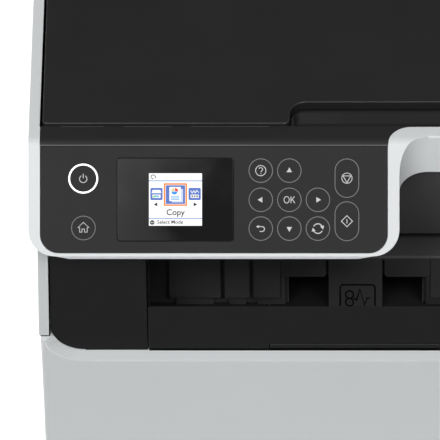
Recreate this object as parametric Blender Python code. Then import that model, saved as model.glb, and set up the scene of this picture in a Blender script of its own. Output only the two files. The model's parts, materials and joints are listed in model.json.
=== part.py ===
"""Multifunction inkjet printer: scanner unit with a control panel, ink tank, print engine and paper cassette.

Run with: blender --background --python part.py
Frame: metres, +Z up, the front faces -Y, origin on the floor under the middle of the bounding box.
"""

import math

import bmesh
import bpy
from mathutils import Matrix, Vector

for old in list(bpy.data.objects):
    bpy.data.objects.remove(old, do_unlink=True)

MM = 0.001

# ---------------------------------------------------------------- driving sizes
WIDTH = 375 * MM
DEPTH = 347 * MM
HEIGHT = 302 * MM
GAP = 0.3 * MM  # between pieces that touch or rest on each other
SLIP = 0.6 * MM  # between pieces that slide or turn past each other
WALL = 2.5 * MM
CUT = 1 * MM  # how far a cutter runs past the face that it opens

LEFT, RIGHT = -WIDTH / 2, WIDTH / 2
FRONT, REAR = -DEPTH / 2, DEPTH / 2

# Scanner unit and the sloping control panel on its front left
PANEL_TILT = math.radians(45)
PANEL_LENGTH = 54.2 * MM  # up the slope, trim included
TRIM_SIDE = 5.6 * MM
TRIM_BOTTOM = 1.4 * MM
TRIM_RIGHT = 5.5 * MM
BROW_RADIUS = 6 * MM
LID_RAISE = 1.5 * MM
SCANNER_HEIGHT = 24 * MM  # of the shell, where it has no panel
PANEL_LIP = 1.8 * MM  # upright edge below the panel's trim
PANEL_END = -5.6 * MM  # right side of the panel's trim

scan_top = HEIGHT - LID_RAISE
scan_bottom = scan_top - SCANNER_HEIGHT
slope_y = PANEL_LENGTH * math.cos(PANEL_TILT)
slope_z = PANEL_LENGTH * math.sin(PANEL_TILT)
brow_y = FRONT + slope_y + BROW_RADIUS * math.sin(PANEL_TILT)
brow_drop = BROW_RADIUS * (1 - math.cos(PANEL_TILT))
panel_foot_z = scan_top - brow_drop - slope_z
panel_under_z = panel_foot_z - PANEL_LIP

# Lower body
BODY_INSET = 4.9 * MM  # each side of the body stands this far inside the scanner unit
BODY_REAR_INSET = 3.5 * MM
FOOT_HEIGHT = 4 * MM
COVER_SETBACK = 3.9 * MM  # white front cover, behind the panel's lower edge
DARK_SETBACK = 10 * MM  # black covers and output tray
WALL_BEHIND_BROW = 2.4 * MM  # upper wall over the paper exit
STACK_STEP = 9.5 * MM  # how far the wall that the output stack leans on stands in front of it
CASSETTE_TOP = 86 * MM
LEDGE_Z = HEIGHT - 117.7 * MM
SEAM_Z = LEDGE_Z + 11.5 * MM
EXIT_Z = LEDGE_Z + 40 * MM  # ledge that the paper leaves over
SIDE_FRAME = 5 * MM

body_left, body_right = LEFT + BODY_INSET, RIGHT - BODY_INSET
body_rear = REAR - BODY_REAR_INSET
cover_y = FRONT + COVER_SETBACK
dark_y = FRONT + DARK_SETBACK
wall_y = brow_y + WALL_BEHIND_BROW
stack_y = wall_y - STACK_STEP
body_top = scan_bottom - SLIP

# Widths across the front
LEFT_COVER = 47.2 * MM
TANK_WIDTH = 66.5 * MM
lane_left = body_left + SIDE_FRAME + LEFT_COVER
lane_right = body_right - SIDE_FRAME - TANK_WIDTH
lane_middle = (lane_left + lane_right) / 2


# ---------------------------------------------------------------- finishes
def finish(name, colour, roughness, metallic=0.0):
    """A Principled material; colour is linear RGB."""
    material = bpy.data.materials.new(name)
    material.use_nodes = True
    shader = material.node_tree.nodes["Principled BSDF"]
    shader.inputs["Base Color"].default_value = (*colour, 1)
    shader.inputs["Roughness"].default_value = roughness
    shader.inputs["Metallic"].default_value = metallic
    material.diffuse_color = (*colour, 1)
    return material


WHITE = finish("white_plastic", (0.80, 0.82, 0.83), 0.45)
BLACK = finish("black_plastic", (0.022, 0.022, 0.023), 0.50)
PANEL = finish("panel_plastic", (0.030, 0.030, 0.031), 0.42)
GLOSSY = finish("display_cover", (0.012, 0.012, 0.013), 0.08)
GREY = finish("grey_plastic", (0.18, 0.18, 0.19), 0.50)
STEEL = finish("steel", (0.56, 0.57, 0.58), 0.35, 1.0)
RUBBER = finish("rubber", (0.03, 0.03, 0.03), 0.80)
GLASS = finish("scanner_glass", (0.55, 0.62, 0.60), 0.03)
FOAM = finish("white_sheet", (0.85, 0.85, 0.83), 0.70)
TANK = finish("tank_plastic", (0.45, 0.46, 0.47), 0.25)
BOARD = finish("circuit_board", (0.02, 0.16, 0.07), 0.50)
GEAR = finish("gear_plastic", (0.75, 0.74, 0.70), 0.40)


# ---------------------------------------------------------------- modelling helpers
def rounded(low, high, radius, steps=6):
    """Outline of a rectangle. radius is one number, or four: low left, then anticlockwise."""
    radii = [radius] * 4 if isinstance(radius, (int, float)) else list(radius)
    corners = ((low[0], low[1]), (high[0], low[1]), (high[0], high[1]), (low[0], high[1]))
    inward = ((1, 1), (-1, 1), (-1, -1), (1, -1))
    points = []
    for index, (corner, side, r) in enumerate(zip(corners, inward, radii)):
        if r <= 0:
            points.append(corner)
            continue
        centre = (corner[0] + side[0] * r, corner[1] + side[1] * r)
        start = math.pi + index * math.pi / 2
        points += arc(centre, r, start, start + math.pi / 2, steps)
    return points


def arc(centre, radius, start, stop, steps):
    """Points on an arc, both ends included."""
    angles = [start + (stop - start) * k / steps for k in range(steps + 1)]
    return [(centre[0] + radius * math.cos(a), centre[1] + radius * math.sin(a)) for a in angles]


def circle(centre, radius, sides=32):
    return arc(centre, radius, 0, 2 * math.pi, sides)[:-1]


AXES = {
    "X": lambda a, b, along: (along, a, b),
    "Y": lambda a, b, along: (a, along, b),
    "Z": lambda a, b, along: (a, b, along),
}


def new_object(name, mesh, material):
    piece = bpy.data.objects.new(name, mesh)
    bpy.context.scene.collection.objects.link(piece)
    if material is not None:
        mesh.materials.append(material)
    return piece


def loft(name, axis, sections, material=None):
    """A closed solid through sections, each an outline and its place along the axis, equal in points."""
    shape = bmesh.new()
    rings = [[shape.verts.new(AXES[axis](a, b, along)) for a, b in outline] for outline, along in sections]
    count = len(rings[0])
    for lower, upper in zip(rings, rings[1:]):
        for k in range(count):
            following = (k + 1) % count
            shape.faces.new((lower[k], lower[following], upper[following], upper[k]))
    shape.faces.new(rings[0])
    shape.faces.new(rings[-1])
    bmesh.ops.recalc_face_normals(shape, faces=shape.faces)
    mesh = bpy.data.meshes.new(name)
    shape.to_mesh(mesh)
    shape.free()
    return new_object(name, mesh, material)


def extruded(name, axis, outline, start, stop, material=None):
    """An outline pushed along an axis. The outline holds (y, z), (x, z) or (x, y) for X, Y or Z."""
    return loft(name, axis, [(outline, start), (outline, stop)], material)


def block(name, low, high, material=None, radius=0):
    """A box from low to high, its corners rounded in plan if a radius is given."""
    outline = rounded(low[:2], high[:2], radius)
    return extruded(name, "Z", outline, low[2], high[2], material)


def turned(name, axis, centre, steps, material=None, sides=24):
    """A round shaft along an axis: steps are (radius, place along the axis), end to end."""
    sections = [(circle(centre, radius, sides), along) for radius, along in steps]
    piece = loft(name, axis, sections, material)
    smooth(piece)
    return piece


def smooth(piece, degrees=35):
    piece.data.shade_smooth()
    piece.data.set_sharp_from_angle(angle=math.radians(degrees))


def helper(cutter):
    cutter.hide_render = True
    cutter.display_type = "WIRE"
    return cutter


def boolean(piece, tool, operation):
    modifier = piece.modifiers.new(tool.name, "BOOLEAN")
    modifier.operation = operation
    modifier.object = helper(tool)
    return piece


def cut(piece, *cutters):
    for cutter in cutters:
        boolean(piece, cutter, "DIFFERENCE")
    return piece


def join(piece, *others):
    for other in others:
        boolean(piece, other, "UNION")
    return piece


def pivot(name, place):
    """An empty on a joint's axis, that carries the pieces which move with the joint."""
    empty = bpy.data.objects.new(name, None)
    empty.location = place
    bpy.context.scene.collection.objects.link(empty)
    return empty


def carry(empty, *pieces):
    """Parents pieces, and the tools of their Booleans, to a pivot without moving them."""
    bpy.context.view_layer.update()
    tools = [m.object for piece in pieces for m in getattr(piece, "modifiers", []) if m.type == "BOOLEAN"]
    for piece in (*pieces, *tools):
        if piece.parent is None:
            piece.parent = empty
            piece.matrix_parent_inverse = empty.matrix_world.inverted()


def on_slope(piece, u, v):
    """Turns a piece modelled flat onto the panel's slope, its origin at u across and v up the slope."""
    piece.rotation_euler = (PANEL_TILT, 0, 0)
    piece.location = slope_point(u, v)
    return piece


def slope_point(u, v, w=0.0):
    """A point u across the panel, v up its slope from the lower edge, and w out of its face."""
    up = Vector((0, math.cos(PANEL_TILT), math.sin(PANEL_TILT)))
    out = Vector((0, -math.sin(PANEL_TILT), math.cos(PANEL_TILT)))
    return Vector((u, FRONT, panel_foot_z)) + up * v + out * w


# ---------------------------------------------------------------- base and feet
PAN_THICKNESS = 3 * MM
PAN_INSET = 6 * MM
RAIL_HEIGHT = 12 * MM
FOOT_RADIUS = 9 * MM
FOOT_INSET = 26 * MM

CASSETTE_HALF = 118 * MM
cassette_left, cassette_right = lane_middle - CASSETTE_HALF, lane_middle + CASSETTE_HALF

pan_top = FOOT_HEIGHT + PAN_THICKNESS
pan_front = cover_y + PAN_INSET * 4


def make_base():
    """A moulded bottom pan with two runners for the cassette and its two rear feet."""
    low = (body_left + PAN_INSET, pan_front, FOOT_HEIGHT)
    high = (body_right - PAN_INSET, body_rear - WALL - SLIP, pan_top)
    pan = block("base_pan", low, high, BLACK, PAN_INSET)
    for side, x in (("left", cassette_left - SLIP - WALL), ("right", cassette_right + SLIP)):
        rail_low = (x, pan_front + PAN_INSET, pan_top - CUT)
        rail_high = (x + WALL, high[1] - PAN_INSET, pan_top + RAIL_HEIGHT)
        join(pan, block("runner_" + side, rail_low, rail_high))
    for side, x in (("left", body_left + FOOT_INSET), ("right", body_right - FOOT_INSET)):
        rear = (x, body_rear - FOOT_INSET)
        steps = [(FOOT_RADIUS, 0), (FOOT_RADIUS, FOOT_HEIGHT + CUT)]
        join(pan, turned("rear_foot_" + side, "Z", rear, steps))
        front = (x, pan_front + FOOT_INSET)
        steps = [(FOOT_RADIUS - CUT, 0), (FOOT_RADIUS, CUT), (FOOT_RADIUS, FOOT_HEIGHT - GAP)]
        turned("front_foot_" + side, "Z", front, steps, RUBBER)


make_base()

# ---------------------------------------------------------------- white body
REAR_OPENING_HALF = 118 * MM
REAR_OPENING_LOW = 92 * MM
REAR_OPENING_HIGH = HEIGHT - 66 * MM
HINGE_NOTCH = 9 * MM  # room behind the scanner unit as it tips back
PORT_LOW, PORT_HIGH = 104 * MM, 148 * MM
PORT_WIDTH = 24 * MM
PORT_EDGE = 8 * MM
BOX_DOOR = 48 * MM
BOX_LOW, BOX_HIGH = 14 * MM, 82 * MM
GRIP_LOW, GRIP_HIGH = 148 * MM, 166 * MM
GRIP_LENGTH = 100 * MM
COVER_DEPTH = 20 * MM
CORNER = 16 * MM  # inner lower corners of the front frame
RIDGE_CORNER = 25 * MM
RIDGE_OUT = 3.2 * MM  # how far the ridge's outline runs out past the body's side
FRONT_CORNER = 5 * MM  # upright corners of the lower front cover and the cassette's front
FRAME_PROUD = 1.5 * MM  # white front frame, before the black covers
MOUTH_MARGIN = 10 * MM
REAR_CORNER = 8 * MM
PANEL_ROOM = 3 * MM
INLET_WIDTH, INLET_HEIGHT = 36 * MM, 28 * MM
VENT_START = 60 * MM
LEDGE_DROP = 0.8 * MM
VENT_COUNT = 8
VENT_PITCH = 9 * MM
VENT_WIDTH = 3 * MM
VENT_LOW, VENT_HIGH = LEDGE_Z + 10 * MM, LEDGE_Z + 42 * MM

cover_back = cover_y + COVER_DEPTH
box_left = cassette_right + SLIP * 2 + WALL
box_right = box_left + BOX_DOOR


def corner(name, place, side, radius, low, high, beyond=CUT):
    """A cutter that rounds an upright corner; side is the way from it into the piece, such as (1, -1)."""
    centre = (place[0] + side[0] * radius, place[1] + side[1] * radius)
    out = (place[0] - side[0] * beyond, place[1] - side[1] * beyond)
    start = math.atan2(-side[1], 0)
    stop = math.atan2(0, -side[0])
    turn = (stop - start + math.pi) % (2 * math.pi) - math.pi
    curve = arc(centre, radius, start, start + turn, 12)
    outline = [out, (centre[0], out[1]), *curve, (out[0], centre[1])]
    return extruded(name, "Z", outline, low, high)


def make_housing():
    """One U-shaped shell: the body's sides and back, with a front frame each side of the black covers."""
    corners = (0, 0, REAR_CORNER, REAR_CORNER)
    outline = rounded((body_left, dark_y - FRAME_PROUD), (body_right, body_rear), corners)
    shell = extruded("rear_housing", "Z", outline, FOOT_HEIGHT, body_top, WHITE)
    inside = block(
        "cut_inside",
        (body_left + WALL, cover_back - CUT, FOOT_HEIGHT - CUT),
        (body_right - WALL, body_rear - WALL, body_top + CUT),
    )
    mouth = block(
        "cut_mouth",
        (body_left + SIDE_FRAME, dark_y - MOUTH_MARGIN, FOOT_HEIGHT - CUT),
        (body_right - SIDE_FRAME, cover_back, body_top + CUT),
    )
    under = block(
        "cut_below_seam",
        (LEFT, dark_y - MOUTH_MARGIN, FOOT_HEIGHT - CUT),
        (RIGHT, cover_back + GAP, SEAM_Z + GAP),
    )
    panel_room = block(
        "cut_panel_room",
        (LEFT, FRONT, panel_under_z - SLIP),
        (PANEL_END + CUT, brow_y + PANEL_ROOM, body_top + CUT),
    )
    hinge_room = block(
        "cut_hinge_room",
        (LEFT, body_rear - HINGE_NOTCH, body_top - HINGE_NOTCH),
        (RIGHT, body_rear + CUT, body_top + CUT),
    )
    rear_y = (body_rear - WALL - CUT, body_rear + CUT)
    duplex = block(
        "cut_rear_cover",
        (lane_middle - REAR_OPENING_HALF, rear_y[0], REAR_OPENING_LOW),
        (lane_middle + REAR_OPENING_HALF, rear_y[1], REAR_OPENING_HIGH),
    )
    left_port = block(
        "cut_mains_inlet",
        (body_left + PORT_EDGE, rear_y[0], PORT_LOW),
        (body_left + PORT_EDGE + INLET_WIDTH, rear_y[1], PORT_LOW + INLET_HEIGHT),
    )
    right_port = block(
        "cut_data_ports",
        (body_right - PORT_EDGE - PORT_WIDTH, rear_y[0], PORT_LOW),
        (body_right - PORT_EDGE, rear_y[1], PORT_HIGH),
    )
    box_door = block(
        "cut_maintenance_box",
        (box_left - SLIP, rear_y[0], BOX_LOW - SLIP),
        (box_right + SLIP, rear_y[1], BOX_HIGH + SLIP),
    )
    shelf_low = (body_left + CUT, body_rear - HINGE_NOTCH - WALL, body_top - HINGE_NOTCH - WALL)
    shelf_high = (body_right - CUT, body_rear - CUT, body_top - HINGE_NOTCH)
    riser_high = (shelf_high[0], body_rear - HINGE_NOTCH, body_top)
    cut(shell, inside, mouth, under, panel_room, hinge_room, duplex, left_port, right_port, box_door)
    join(shell, block("hinge_shelf", shelf_low, shelf_high), block("hinge_riser", shelf_low, riser_high))
    for side, x in (("left", body_left), ("right", body_right)):
        low = (x - WALL - CUT, -GRIP_LENGTH / 2, GRIP_LOW)
        high = (x + WALL + CUT, GRIP_LENGTH / 2, GRIP_HIGH)
        cut(shell, block("cut_grip_" + side, low, high))
    for k in range(VENT_COUNT):
        y = VENT_START + k * VENT_PITCH
        low = (body_left - CUT, y, VENT_LOW)
        high = (body_left + WALL + CUT, y + VENT_WIDTH, VENT_HIGH)
        cut(shell, block(f"cut_vent_{k}", low, high))
    smooth(shell)


def round_front(piece, low, high):
    """Rounds the two upright front corners of a piece as wide as the body."""
    for side, x, inward in (("left", body_left, 1), ("right", body_right, -1)):
        name = f"cut_{piece.name}_{side}"
        cut(piece, corner(name, (x, cover_y), (inward, 1), FRONT_CORNER, low - CUT, high + CUT))


def make_front_cover():
    """The white front below the output tray. Its ledge runs round the black covers and ends in a ridge."""
    low, high = (body_left, CASSETTE_TOP + GAP), (body_right, SEAM_Z - GAP)
    cover = extruded("lower_front_cover", "Y", rounded(low, high, 0), cover_y, cover_back, WHITE)
    inner_low, inner_high = (body_left + SIDE_FRAME, LEDGE_Z), (body_right - SIDE_FRAME, HEIGHT)
    inner = rounded(inner_low, inner_high, (CORNER, CORNER, 0, 0), 14)
    ridge_low = (body_left - RIDGE_OUT, LEDGE_Z - LEDGE_DROP)
    ridge_high = (body_right + RIDGE_OUT, HEIGHT)
    ridge = rounded(ridge_low, ridge_high, (RIDGE_CORNER, RIDGE_CORNER, 0, 0), 14)
    sections = [(ridge, cover_y - CUT / 4), (inner, dark_y), (inner, cover_back + CUT)]
    cut(cover, loft("cut_ledge", "Y", sections))
    inside_low = (body_left + WALL, cover_y + WALL, CASSETTE_TOP)
    inside_high = (body_right - WALL, cover_back + CUT, LEDGE_Z - WALL * 2)
    cut(cover, block("cut_cover_inside", inside_low, inside_high))
    round_front(cover, low[1], high[1])


make_housing()
make_front_cover()

# ---------------------------------------------------------------- black covers, tank housing and exit frame
COVER_SHELL = 2 * MM
TANK_WINDOW_SIDE = 13 * MM
TANK_WINDOW_LOW = 12 * MM
TANK_WINDOW_HIGH = 60 * MM
TANK_DEPTH = 42 * MM
RADIUS_SMALL = 2 * MM

left_cover_top = panel_under_z - SLIP
under_ledge = LEDGE_Z + GAP


def make_left_cover():
    """A black shell, open at its back, that closes the body left of the output tray."""
    inner_corner = CORNER - GAP
    low, high = (body_left + SIDE_FRAME + GAP, under_ledge), (lane_left, left_cover_top)
    outline = rounded(low, high, (inner_corner, 0, 0, 0), 14)
    cover = extruded("left_front_cover", "Y", outline, dark_y, stack_y, BLACK)
    inside = rounded(
        (low[0] + COVER_SHELL, low[1] + COVER_SHELL),
        (high[0] - COVER_SHELL, high[1] - COVER_SHELL),
        (inner_corner - COVER_SHELL, 0, 0, 0),
        14,
    )
    cut(cover, extruded("cut_left_cover", "Y", inside, dark_y + COVER_SHELL, stack_y + CUT))


def make_tank_housing():
    """A black housing on the right, with a window that shows the ink level, open at its top."""
    low, high = (lane_right, under_ledge), (body_right - SIDE_FRAME - GAP, body_top - GAP)
    outline = rounded(low, high, (0, CORNER - GAP, 0, 0), 14)
    back = wall_y + TANK_DEPTH
    housing = extruded("ink_tank_housing", "Y", outline, dark_y, back, BLACK)
    room = rounded(
        (low[0] + COVER_SHELL, low[1] + COVER_SHELL),
        (high[0] - COVER_SHELL, high[1] - COVER_SHELL),
        (0, CORNER - COVER_SHELL, 0, 0),
        14,
    )
    cut(housing, extruded("cut_tank_room", "Y", room, dark_y + COVER_SHELL, back + CUT))
    access_low = (lane_right + COVER_SHELL, brow_y, high[1] - COVER_SHELL * 2)
    access_high = (high[0] - COVER_SHELL, back + CUT, high[1] + CUT)
    cut(housing, block("cut_tank_access", access_low, access_high))
    window_low = (low[0] + TANK_WINDOW_SIDE, under_ledge + TANK_WINDOW_LOW)
    window_high = (high[0] - TANK_WINDOW_SIDE, under_ledge + TANK_WINDOW_HIGH)
    window = rounded(window_low, window_high, RADIUS_SMALL)
    cut(housing, extruded("cut_tank_window", "Y", window, dark_y - CUT, dark_y + COVER_SHELL + CUT))


FLAPS = (  # start from the lane's left side and width, then the same of the stem below, in mm
    (10.5, 25.5, 13.7, 18.7),
    (38.1, 12.2, 39.9, 8.7),
    (52.5, 13.1, 54.2, 13.9),
)
EDGE = 1 * MM  # bevel of the exit ledge
FLAP_BACK = 0.5 * MM
STEM_BACK = 1.5 * MM
TAB_OVER = 4 * MM  # how far a tab runs past its guide
TAB_SHORT = 1.2 * MM
FLAP_LOW = 29.5 * MM  # lower edge of the flaps, below the exit ledge
GUIDE_START = 69.8 * MM  # where the open guide begins
TAB_HEIGHT = 12.6 * MM
JAM_BLOCK_START = 89.6 * MM
JAM_BLOCK_WIDTH = 26.6 * MM
STACK_RELIEF = 3 * MM
EXIT_SLOT = 7 * MM
TRAY_FLOOR_Z = LEDGE_Z + 4.4 * MM
LEDGE_DEPTH = 36 * MM

stack_low = TRAY_FLOOR_Z + SLIP
jam_centre = lane_left + JAM_BLOCK_START + JAM_BLOCK_WIDTH / 2


def lane_span(side, start, width):
    """The two ends of a stretch across the lane, or of its mirror image beyond the jam block."""
    near, far = lane_left + start, lane_left + start + width
    return (near, far) if side == "left" else (2 * jam_centre - far, 2 * jam_centre - near)


def make_exit_frame():
    """The black frame behind the output tray: the stack's wall below, the paper exit, and the upper wall."""
    left, right = lane_left + SLIP, lane_right - SLIP
    profile = [
        (stack_y + STACK_RELIEF, stack_low),
        (stack_y + STACK_RELIEF + WALL, stack_low),
        (stack_y + STACK_RELIEF + WALL, EXIT_Z - WALL),
        (stack_y + LEDGE_DEPTH, EXIT_Z - WALL),
        (stack_y + LEDGE_DEPTH, EXIT_Z),
        (stack_y + EDGE, EXIT_Z),
        (stack_y, EXIT_Z - EDGE),
        (stack_y, EXIT_Z - EDGE * 2),
        (stack_y + STACK_RELIEF, EXIT_Z - EDGE * 2),
    ]
    frame = extruded("exit_frame", "X", profile, left, right, BLACK)
    wall_low = (left, wall_y, EXIT_Z + EXIT_SLOT)
    join(frame, block("upper_wall", wall_low, (right, wall_y + WALL, body_top - GAP)))
    for name, x in (("left_cheek", left), ("right_cheek", right - WALL)):
        cheek_high = (x + WALL, stack_y + LEDGE_DEPTH, body_top - GAP)
        join(frame, block(name, (x, wall_y, stack_low), cheek_high))
    for number, (start, width, stem_start, stem_width) in enumerate(FLAPS):
        for side in ("left", "right"):
            wide = lane_span(side, start * MM, width * MM)
            slim = lane_span(side, stem_start * MM, stem_width * MM)
            back, top = stack_y + STACK_RELIEF + CUT, EXIT_Z - EDGE * 2 - SLIP
            flap = rounded((wide[0], EXIT_Z - FLAP_LOW), (wide[1], top), (CUT, CUT, 0, 0), 3)
            join(frame, extruded(f"flap_{number}_{side}", "Y", flap, stack_y + FLAP_BACK, back))
            stem_low = (slim[0], stack_y + STEM_BACK, stack_low)
            join(frame, block(f"stem_{number}_{side}", stem_low, (slim[1], back, top)))
    block_low = (jam_centre - JAM_BLOCK_WIDTH / 2, stack_y, stack_low)
    block_high = (jam_centre + JAM_BLOCK_WIDTH / 2, stack_y + STACK_RELIEF + CUT, EXIT_Z - CUT)
    join(frame, block("jam_block", block_low, block_high))
    for side in ("left", "right"):
        near, far = lane_span(side, GUIDE_START, JAM_BLOCK_START - GUIDE_START)
        edge = EXIT_Z - TAB_HEIGHT - EDGE * 2
        opening = rounded((near, stack_low - CUT), (far, edge), (0, 0, RADIUS_SMALL, RADIUS_SMALL))
        depths = (stack_y - CUT, stack_y + STACK_RELIEF + WALL + CUT)
        cut(frame, extruded("cut_guide_" + side, "Y", opening, *depths))
        tab_width = JAM_BLOCK_START - GUIDE_START + TAB_OVER - TAB_SHORT
        tab_near, tab_far = lane_span(side, GUIDE_START - TAB_OVER, tab_width)
        tab = rounded((tab_near, edge), (tab_far, EXIT_Z - CUT), (RADIUS_SMALL, RADIUS_SMALL, 0, 0))
        join(frame, extruded("tab_" + side, "Y", tab, stack_y + FLAP_BACK, stack_y + STACK_RELIEF + CUT))


make_left_cover()
make_tank_housing()
make_exit_frame()

# ---------------------------------------------------------------- scanner unit
RIM_SIDE = 5.3 * MM
RIM_FRONT = 7.1 * MM
RIM_ROUND = 1 * MM
SHELL_FLOOR = 2 * MM
LID_THICKNESS = 11 * MM
DECK_DROP = LID_THICKNESS + 1.9 * MM  # deck's top below the shell's top
DECK_THICKNESS = 3.5 * MM
GLASS_THICKNESS = 2 * MM
GLASS_LEDGE = 3 * MM
GLASS_SIZE = (300 * MM, 218 * MM)
PLATE = 2 * MM
SCANNER_HINGE_IN = 6 * MM
SCANNER_HINGE_UP = 3.5 * MM
SCAN_BAR = 18 * MM
TRIM_CORNER = 13 * MM
PANEL_CORNER = 9.1 * MM
SHELL_CORNER = 5 * MM
TURN_RADIUS = 14 * MM  # inner corner where the panel's side meets the shell's front wall
STRIP_TURN = 11.5 * MM  # the same turn on the black strip

deck_top = scan_top - DECK_DROP
deck_low = deck_top - DECK_THICKNESS
pocket_front = brow_y + RIM_FRONT
pocket_rear = REAR - RIM_SIDE
wedge_back = wall_y - SLIP
panel_left, panel_right = LEFT + TRIM_SIDE, PANEL_END - TRIM_RIGHT
glass_low = Vector((-GLASS_SIZE[0] / 2, (pocket_front + pocket_rear - GLASS_SIZE[1]) / 2))
glass_high = glass_low + Vector(GLASS_SIZE)

scanner = pivot("scanner_hinge", (0, REAR - SCANNER_HINGE_IN, scan_bottom + SCANNER_HINGE_UP))


def brow(depth, steps=6):
    """The curve over the brow, from the flat top down to the slope, a depth below the outer surface."""
    start, stop = math.pi / 2, math.pi / 2 + PANEL_TILT
    return arc((brow_y, scan_top - BROW_RADIUS), BROW_RADIUS - depth, start, stop, steps)


def slope_yz(v, w):
    place = slope_point(0, v, w)
    return (place.y, place.z)


def turn_outline(x, y, radius, beyond):
    """Outline before a quarter turn, from the wall's side at x to its face at y, running on by beyond."""
    curve = arc((x + radius, y - radius), radius, math.pi, math.pi / 2, 10)
    return [*curve, (x + radius + beyond, y), (x + radius + beyond, FRONT - CUT), (x, FRONT - CUT)]


def make_scanner_shell():
    """The white shell under the glass, with the wedge that carries the control panel."""
    top = scan_top
    nose = arc((brow_y + RIM_ROUND, top - RIM_ROUND), RIM_ROUND, math.pi / 2, math.pi, 6)
    profile = [(REAR, scan_bottom), (REAR, top), *nose, (brow_y, scan_bottom)]
    shell = extruded("scanner_shell", "X", profile, LEFT, RIGHT, WHITE)
    foot = slope_yz(0, 0)
    under = ((foot[0], panel_under_z), (wedge_back, panel_under_z))
    wedge_profile = [(wedge_back, top), *brow(0), foot, *under]
    wedge = extruded("panel_wedge", "X", wedge_profile, LEFT, PANEL_END + TURN_RADIUS)
    join(shell, wedge)
    depths = (panel_under_z - CUT, top + CUT)
    outside = turn_outline(PANEL_END, brow_y, TURN_RADIUS, CUT)
    cut(shell, extruded("cut_turn", "Z", outside, *depths))
    below_low = (PANEL_END, FRONT - CUT, panel_under_z - CUT)
    below_high = (PANEL_END + TURN_RADIUS + CUT, wedge_back + CUT, scan_bottom)
    cut(shell, block("cut_below_turn", below_low, below_high))
    for name, place, side in (("left", (LEFT, 0), (1, 1)), ("right", (PANEL_END, 0), (-1, 1))):
        cutter = corner("cut_trim_" + name, place, side, TRIM_CORNER, -PANEL_LENGTH, CUT * 3, PANEL_LIP)
        cut(shell, on_slope(cutter, 0, 0))
    for name, place, side in (("left", (LEFT, REAR), (1, -1)), ("right", (RIGHT, REAR), (-1, -1))):
        cut(shell, corner("cut_rear_" + name, place, side, SHELL_CORNER, scan_bottom - CUT, top + CUT))
    pocket_low = (LEFT + RIM_SIDE, pocket_front, scan_bottom + SHELL_FLOOR)
    pocket = block("cut_pocket", pocket_low, (RIGHT - RIM_SIDE, pocket_rear, top + CUT))
    seat_depth = -PLATE - GAP * 2
    inner_edge = slope_yz(TRIM_BOTTOM, seat_depth)
    seat_low = (panel_left + CUT / 8, TRIM_BOTTOM)
    seat_high = (panel_right - CUT / 8, PANEL_LENGTH + CUT)
    seat_corner = PANEL_CORNER + GAP
    seat_outline = rounded(seat_low, seat_high, (seat_corner, seat_corner, 0, 0), 12)
    seat = on_slope(extruded("cut_plate_seat", "Z", seat_outline, seat_depth - GAP, CUT), 0, 0)
    room_profile = [
        (pocket_front + CUT, top + CUT),
        (brow_y, top + CUT),
        slope_yz(PANEL_LENGTH, CUT * 2),
        slope_yz(PANEL_LENGTH, seat_depth),
        inner_edge,
        (wedge_back - WALL, inner_edge[1]),
        (wedge_back - WALL, scan_bottom + SHELL_FLOOR),
        (pocket_front + CUT, scan_bottom + SHELL_FLOOR),
    ]
    room = extruded("cut_panel_hollow", "X", room_profile, panel_left, panel_right)
    cut(shell, pocket, room, seat, strip_end("cut_strip_end", (deck_low - GAP, top + CUT)))
    carry(scanner, shell)
    smooth(shell, 30)


def strip_end(name, depths):
    """The flared right end of the black strip, in plan."""
    x, y = panel_right, pocket_front
    curve = arc((x + STRIP_TURN, y - STRIP_TURN), STRIP_TURN, math.pi, math.pi / 2, 10)
    outline = [(x - CUT, curve[0][1]), *curve, (curve[-1][0], y + CUT * 1.5), (x - CUT, y + CUT * 1.5)]
    return extruded(name, "Z", outline, *depths)


def make_deck():
    """The black deck round the glass, with a strip in front that follows the brow down to the panel."""
    low = (LEFT + RIM_SIDE + GAP, pocket_front + GAP, deck_low)
    high = (RIGHT - RIM_SIDE - GAP, pocket_rear - GAP, deck_top)
    deck = block("scanner_deck", low, high, BLACK)
    outer = [(pocket_front + CUT, scan_top - GAP), *brow(GAP)]
    inner = [*reversed(brow(PLATE)), (pocket_front - CUT, scan_top - PLATE), (pocket_front - CUT, deck_low)]
    strip = [*outer, *inner, (pocket_front + CUT, deck_low)]
    reach = panel_right + STRIP_TURN
    join(deck, extruded("brow_strip", "X", strip, panel_left + GAP, reach))
    centre = (reach - GAP, pocket_front - STRIP_TURN)
    curve = arc(centre, STRIP_TURN, math.pi, math.pi / 2, 10)
    beyond = reach + CUT
    outside = [*curve, (beyond, centre[1] + STRIP_TURN), (beyond, FRONT), (centre[0] - STRIP_TURN, FRONT)]
    cut(deck, extruded("cut_strip_turn", "Z", outside, deck_low - CUT, scan_top + CUT))
    seat = GLASS_THICKNESS + GAP * 2
    hole_low = (glass_low.x + GLASS_LEDGE, glass_low.y + GLASS_LEDGE, deck_low - CUT)
    hole_high = (glass_high.x - GLASS_LEDGE, glass_high.y - GLASS_LEDGE, deck_top + CUT)
    seat_low = (glass_low.x - GAP, glass_low.y - GAP, deck_top - seat)
    seat_high = (glass_high.x + GAP, glass_high.y + GAP, deck_top + CUT)
    cut(deck, block("cut_glass_seat", seat_low, seat_high), block("cut_glass_hole", hole_low, hole_high))
    glass_base = deck_top - seat + GAP
    glass_top = glass_base + GLASS_THICKNESS
    glass = block("platen_glass", (*glass_low, glass_base), (*glass_high, glass_top), GLASS)
    bar_low = (glass_low.x + GLASS_LEDGE + SLIP, glass_low.y, scan_bottom + SHELL_FLOOR + SLIP)
    bar_high = (bar_low[0] + SCAN_BAR, glass_high.y, deck_low - SLIP)
    bar = block("scan_bar", bar_low, bar_high, GREY, RADIUS_SMALL)
    carry(scanner, deck, glass, bar)
    smooth(deck, 30)


make_scanner_shell()
make_deck()

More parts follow.
